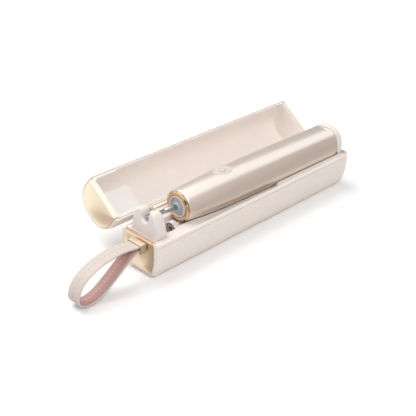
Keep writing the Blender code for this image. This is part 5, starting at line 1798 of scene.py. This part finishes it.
        # Places along the shaft, the radius there and the height that the flat cuts it down to.
        rows = np.array(
            [
                [tip, radius - chamfer, self.flat_height - 0.15],
                [tip + 0.3 * chamfer, radius - 0.35 * chamfer, self.flat_height - 0.04],
                [tip + chamfer, radius, self.flat_height],
                [flat_end, radius, self.flat_height],
                [flat_end + 0.7 * chamfer, radius, 0.75 * radius],
                [flat_end + 1.6 * chamfer, radius, radius],
                [0, radius, radius],
                [self.shaft_end, radius, radius],
            ]
        )
        u = full_turn(72)
        x, size, flat = (rows[:, k : k + 1] for k in range(3))
        z = np.minimum(size * np.sin(u), flat)
        grid = np.stack([np.broadcast_to(x, z.shape), size * np.cos(u), z], -1)
        place = Tilted(self.shape.nose, self.shape.tilt + self.shape.shaft_lean)
        patch = sheet(grid, wrap_columns=True, capped=True)
        maker.piece("drive_polished_shaft", patch, place, Body.DRIVE, Finish.CHROME, ["drive_shaft"])


@dataclass
class BrushHead:
    """The spare brush head under the handle's nose: neck, grey insert and nylon tufts."""

    place: Tilted
    length: float = 74.0
    head_length: float = 25.0
    head_half: float = 6.0
    thin: float = 2.2
    collar_radius: float = 6.2
    collar_length: float = 4.4
    collar_edge: float = 0.4
    shoulder_radius: float = 4.3
    shoulder_run: float = 2.0
    neck_radius: float = 3.0
    neck_flare: float = 0.3
    neck_start: float = 7.0
    neck_end: float = 12.0
    root_half: float = 4.0
    tip_half: float = 2.0
    bore: float = 5.4
    bore_depth: float = 4.0
    bore_edge: float = 0.2
    bore_middle: float = 0.05
    insert_bore: float = 2.3
    insert_recess: float = 0.5
    insert_edge: float = 0.3
    tufts: tuple[int, int] = (6, 3)
    field_size: tuple[float, float] = (17.0, 9.0)
    tuft_height: float = 8.4
    plate: float = 0.8
    plate_corner: float = 0.25
    plate_edge: float = 0.2
    hairs: int = 16
    hair_radii: tuple[float, float, float] = (0.11, 0.11, 0.05)
    hair_taper: float = 0.9
    tuft_spread: float = 0.42
    ahead_of_nose: ClassVar[float] = 7.0
    below_nose: ClassVar[float] = 16.5

    @classmethod
    def frame_under(cls, handle: HandleShape) -> Tilted:
        """Gives the brush's frame, which leans as far as the handle's underside swells behind the nose."""
        lean = handle.tilt + math.atan2(handle.radius - handle.nose_radius, handle.taper)
        return Tilted((handle.nose[0] - cls.ahead_of_nose, 0.0, handle.nose[2] - cls.below_nose), lean)

    def build(self, maker: Maker) -> None:
        """Makes the neck through its guide sections, the insert and the tufts.

        At share s of its length the head is as wide and as tall as sqrt(1 - (2 s - 1)^4) of its full size.

        Args:
            maker: what puts the pieces in.
        """
        head = self.length - self.head_length
        # Places along the brush with the radius there, from the bore's floor out over the collar to the neck.
        guide = np.array(
            [
                [self.bore_depth, self.bore * self.bore_middle],
                [self.bore_depth, self.bore],
                [self.bore_edge, self.bore],
                [0, self.collar_radius - self.collar_edge],
                [self.collar_edge, self.collar_radius],
                [self.collar_length, self.collar_radius],
                [self.collar_length + self.shoulder_run, self.shoulder_radius],
                [self.collar_length + self.neck_start, self.neck_radius + self.neck_flare],
                [head - self.neck_end, self.neck_radius],
            ]
        )
        share = np.linspace(0, 1, 20)[1:]
        bow = np.sqrt(np.clip(1 - (2 * share - 1) ** 4, 0, 1))
        wide = np.maximum(self.head_half * bow, self.tip_half)
        wide[:4] = np.maximum(wide[:4], self.root_half)
        tall = np.maximum(self.thin * bow, self.thin / 2)
        oval = np.stack([head + share * self.head_length, wide, tall], -1)
        rows = np.concatenate([guide[:, [0, 1, 1]], [[head, self.root_half, self.thin]], oval])
        u = full_turn(64)
        x, y, z = (rows[:, k : k + 1] for k in range(3))
        grid = np.stack([x + 0 * u, y * np.cos(u), z * np.sin(u)], -1)
        patch = sheet(grid, wrap_columns=True, capped=True)
        maker.piece("brush_head_neck", patch, self.place, Body.BRUSH, Finish.WHITE, ["brush_neck"])
        low, high, outer = self.insert_recess, self.bore_depth - SEAT_GAP, self.bore - SEAT_GAP
        profile = np.array([[low, self.insert_bore], [low, outer], [high, outer], [high, self.insert_bore]])
        ring = turned(soften(profile, self.insert_edge))
        place, nodes = self.place, ["brush_insert"]
        maker.piece("brush_grey_insert", ring, place, Body.BRUSH, Finish.BLACK, nodes, finish=Finish.INSERT)
        self.build_tufts(maker, head)

    def build_tufts(self, maker: Maker, head: float) -> None:
        """Makes the tuft plate and the tufts, each a bundle of slim six-sided hairs.

        Hair k of n stands on a sunflower spiral, at the radius r sqrt((k + 1/2) / n) and k golden angles.

        Args:
            maker: what puts the pieces in.
            head: where the brush's head starts.
        """
        rows, columns = self.tufts
        long, wide = self.field_size
        start = head + (self.head_length - long) / 2
        top = -self.thin - SEAT_GAP
        foot = top - self.plate
        outline = soften(rectangle((-wide / 2, foot), (wide / 2, top)), self.plate_corner, 4)
        plate = rounded_prism(outline, start, start + long, self.plate_edge)
        cell = long / (2 * rows + 1), wide / (2 * columns + 1)
        x = start + cell[0] * (2 * np.arange(rows) + 1.5)
        y = -wide / 2 + cell[1] * (2 * np.arange(columns) + 1.5)
        spots = np.stack(np.meshgrid(x, y, indexing="ij"), -1).reshape(-1, 1, 2)
        k = np.arange(self.hairs)
        reach = self.tuft_spread * min(cell) * np.sqrt((k + 0.5) / self.hairs)
        turn = k * math.pi * (3 - math.sqrt(5))
        roots = (spots + reach[:, None] * unit(turn)).reshape(-1, 2)
        tip = foot - self.tuft_height
        level = np.array([top - self.plate / 2, foot - self.hair_taper * self.tuft_height, tip])
        ring = np.array(self.hair_radii)[:, None, None] * unit(full_turn(6))
        flat = roots[:, None, None] + ring[None]
        heights = np.broadcast_to(level[None, :, None, None], (*flat.shape[:3], 1))
        points = np.concatenate([flat, heights], -1)
        one = sheet(points[0], wrap_columns=True, capped=True)
        shift = np.arange(len(roots))[:, None, None] * ring[..., 0].size
        tables = [(shift + table[None]).reshape(-1, table.shape[1]) for table in one.tables]
        hairs = Patch(points.reshape(-1, 3), tables, [np.zeros(len(table), int) for table in tables])
        patch = plate.joined(hairs)
        maker.piece("brush_nylon_tufts", patch, self.place, Body.BRUSH, Finish.BRISTLE, ["brush_bristles"])


@dataclass
class Studio:
    """Camera, lamps, world, the pale floor and the cards that the metal mirrors.

    A lamp has a place, a width, a height and a power, and faces the middle of the case. A card has a middle,
    the steps to its side and its upper edge, and a colour. Places and sizes are in metres, apart from the
    sensor's, which is in millimetres.
    """

    azimuth: float = math.radians(-44.17)
    elevation: float = math.radians(29.29)
    position: tuple[float, float, float] = (-0.42413, -0.39613, 0.33583)
    focal_pixels: float = 843.03
    frame_pixels: int = 416
    sensor: float = 36.0
    world_strength: float = 0.38
    floor_colour: str = "fafafa"
    floor_reach: float = 6.0
    floor_drop: float = 0.0002
    matt: float = 0.9
    glow: float = 0.08
    far_glow: float = 0.6
    glow_reach: tuple[float, float] = (0.4, 1.6)
    lamps: dict[str, Panel] = field(
        default_factory=lambda: {
            "key_softbox": ((-0.15, 0.5, 1.1), 0.9, 0.9, 9.5),
            "front_fill": ((-0.3, -0.85, 1.15), 1.0, 0.8, 7.4),
        }
    )
    cards: dict[str, Card] = field(
        default_factory=lambda: {
            "front_card": ((0.6, -0.3, 0.22), (0.75, 0.0, 0.0), (0.0, 0.0, 0.22), "cdc3be"),
            # A grey card flat on the floor in front, seen only in the gloss: a painted reflection of the shade
            # on the floor before the case.
            "front_floor_shade_card": ((0.3, -0.165, 0.0005), (0.45, 0.0, 0.0), (0.0, 0.135, 0.0), "b3a9a4"),
            "back_low_card": ((0.6, 0.5, 0.2), (0.75, 0.0, 0.0), (0.0, 0.0, 0.2), "d6cec8"),
            "back_high_card": ((0.6, 0.5, 0.6), (0.75, 0.0, 0.0), (0.0, 0.0, 0.2), "eee9e5"),
            "left_flag": ((-1.3, -0.25, 0.28), (0.0, 0.26, 0.0), (0.0, 0.0, 0.24), "1c1917"),
            # Grey cards flat on the floor round the strap and beside the cap, seen only in the gloss: a
            # painted reflection of the shade there.
            "strap_shade_card": ((-0.362, -0.1525, 0.0005), (0.238, 0.0, 0.0), (0.0, 0.2475, 0.0), "b4a99b"),
            "cap_shade_card": ((-0.1178, -0.05, 0.0005), (0.0062, 0.0, 0.0), (0.0, 0.052, 0.0), "b4a99b"),
        }
    )

    def build(self) -> None:
        """Makes the camera, the lights and the floor."""
        scene = bpy.context.scene
        scene.view_settings.view_transform = "Standard"
        eye = bpy.data.cameras.new("photo_camera")
        eye.sensor_width = self.sensor
        eye.lens = self.focal_pixels / self.frame_pixels * self.sensor
        camera = bpy.data.objects.new("photo_camera", eye)
        camera.location = self.position
        back = Vector(
            (
                math.sin(self.azimuth) * math.cos(self.elevation),
                -math.cos(self.azimuth) * math.cos(self.elevation),
                math.sin(self.elevation),
            )
        )
        camera.rotation_euler = (-back).to_track_quat("-Z", "Y").to_euler()
        scene.collection.objects.link(camera)
        scene.camera = camera
        for name, (where, width, height, power) in self.lamps.items():
            light = bpy.data.lights.new(name, "AREA")
            light.shape, light.size, light.size_y, light.energy = "RECTANGLE", width, height, power
            lamp = bpy.data.objects.new(name, light)
            lamp.location = where
            lamp.rotation_euler = (-Vector(where)).to_track_quat("-Z", "Y").to_euler()
            scene.collection.objects.link(lamp)
        self.build_world(scene)
        self.build_floor(scene)
        self.build_cards(scene)

    @staticmethod
    def seen(tree: bpy.types.NodeTree) -> bpy.types.NodeSocket:
        """Gives 1 on rays of the camera, of gloss and through glass, and 0 on those that light.

        Args:
            tree: the node tree.

        Returns:
            The output to link.
        """
        path = add(tree, "ShaderNodeLightPath")
        kinds = [path.outputs[f"Is {kind} Ray"] for kind in ("Camera", "Glossy", "Transmission")]
        first = add(tree, "ShaderNodeMath", {0: kinds[0], 1: kinds[1]}, operation="MAXIMUM")
        return add(tree, "ShaderNodeMath", {0: first.outputs[0], 1: kinds[2]}, operation="MAXIMUM").outputs[0]

    def build_cards(self, scene: bpy.types.Scene) -> None:
        """Makes the matt cards out of the camera's sight, which only the gloss of the metal shows; those flat
        on the floor give a painted reflection of the floor's shade.

        Args:
            scene: the scene.
        """
        signs = rectangle((-1, -1), (1, 1))
        for name, (middle, across, rise, colour) in self.cards.items():
            mesh = bpy.data.meshes.new(name)
            mesh.from_pydata(np.array(middle) + signs @ np.array([across, rise]), [], [(0, 1, 2, 3)])
            # Rough paper: an even tone with no highlight of its own.
            paper = Moulded(f"matt paper {name}", colour, colour, roughness=self.matt, grain=2.0, relief=0.05)
            mesh.materials.append(paper.make())
            card = bpy.data.objects.new(name, mesh)
            card.visible_camera = card.visible_diffuse = card.visible_shadow = False
            scene.collection.objects.link(card)

    def build_world(self, scene: bpy.types.Scene) -> None:
        """Makes an even white sky that is pure white to the camera and in the gloss.

        Args:
            scene: the scene.
        """
        world = bpy.data.worlds.new("white room")
        world.use_nodes = True
        scene.world = world
        tree = world.node_tree
        ground = tree.nodes["Background"]
        levels = {"Value": self.seen(tree), "To Min": self.world_strength, "To Max": 1.0}
        strength = add(tree, "ShaderNodeMapRange", levels)
        ground.inputs["Color"].default_value = linear("ffffff")
        tree.links.new(strength.outputs[0], ground.inputs["Strength"])

    def build_floor(self, scene: bpy.types.Scene) -> None:
        """Makes a white floor that glows a little towards the eye, so that it reads white and keeps shadows.

        The glow grows with distance, where the lamps give less.

        Args:
            scene: the scene.
        """
        reach = self.floor_reach
        corners = np.column_stack([rectangle((-reach, -reach), (reach, reach)), np.full(4, -self.floor_drop)])
        mesh = bpy.data.meshes.new("studio_floor")
        mesh.from_pydata(corners, [], [(0, 1, 2, 3)])
        # Matt painted paper: an even white that shows shadows and no highlight.
        constants = {"Roughness": self.matt, "Specular_IOR_Level": 0.0}
        made, tree, shader, place = new_material("matt white floor", **constants)
        shader.inputs["Base Color"].default_value = linear(self.floor_colour)
        away = add(tree, "ShaderNodeVectorMath", {0: place}, operation="LENGTH")
        near, far = self.glow_reach
        sockets = {"Value": away.outputs["Value"], "From Min": near, "From Max": far}
        fade = add(tree, "ShaderNodeMapRange", {**sockets, "To Min": self.glow, "To Max": self.far_glow})
        glow = add(tree, "ShaderNodeMath", {0: self.seen(tree), 1: fade.outputs[0]}, operation="MULTIPLY")
        shader.inputs["Emission Color"].default_value = (1, 1, 1, 1)
        tree.links.new(glow.outputs[0], shader.inputs["Emission Strength"])
        mesh.materials.append(made)
        floor = bpy.data.objects.new("studio_floor", mesh)
        scene.collection.objects.link(floor)


def dress_solids(frame: dict, finishes: dict[Finish, Material]) -> None:
    """Gives every solid of the frame the finish of its slot.

    Args:
        finishes: the materials.
    """
    for subpart in frame["record"]["subparts"]:
        solid = frame["nodes"][subpart["node"]]
        solid.data.materials.clear()
        slot = subpart["material_slot"]
        leaf = subpart["node"].startswith("hinge")
        solid.data.materials.append(finishes[Finish.HINGE if leaf else Finish[slot.upper()]])
        LOG.info("%s: solid in %s", subpart["node"], slot)


def main() -> None:
    """Builds the classes in order; each piece logs its face count."""
    logging.basicConfig(level=logging.INFO, format="%(name)s: %(message)s")
    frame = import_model()
    finishes = {finish: finish.value.make() for finish in Finish}
    maker = Maker(finishes)
    dress_solids(frame, finishes)
    case = CaseShape.from_frame(frame)
    drive = next(j for j in frame["joints"] if j["name"] == "drive_oscillation")
    nose = tuple(value / MM for value in drive["pos_m"])
    body = HandleShape(nose)
    brush = BrushHead(BrushHead.frame_under(body))
    for half in Half:
        LeatherHalf(case, half).build(maker)
        for end in End:
            EndCap(case, half, end).build(maker)
    LidLiner(case).build(maker)
    Tray(case, body, brush).build(maker)
    WristStrap(case).build(maker)
    Handle(body).build(maker)
    brush.build(maker)
    Studio().build()


if __name__ == "__main__":
    main()
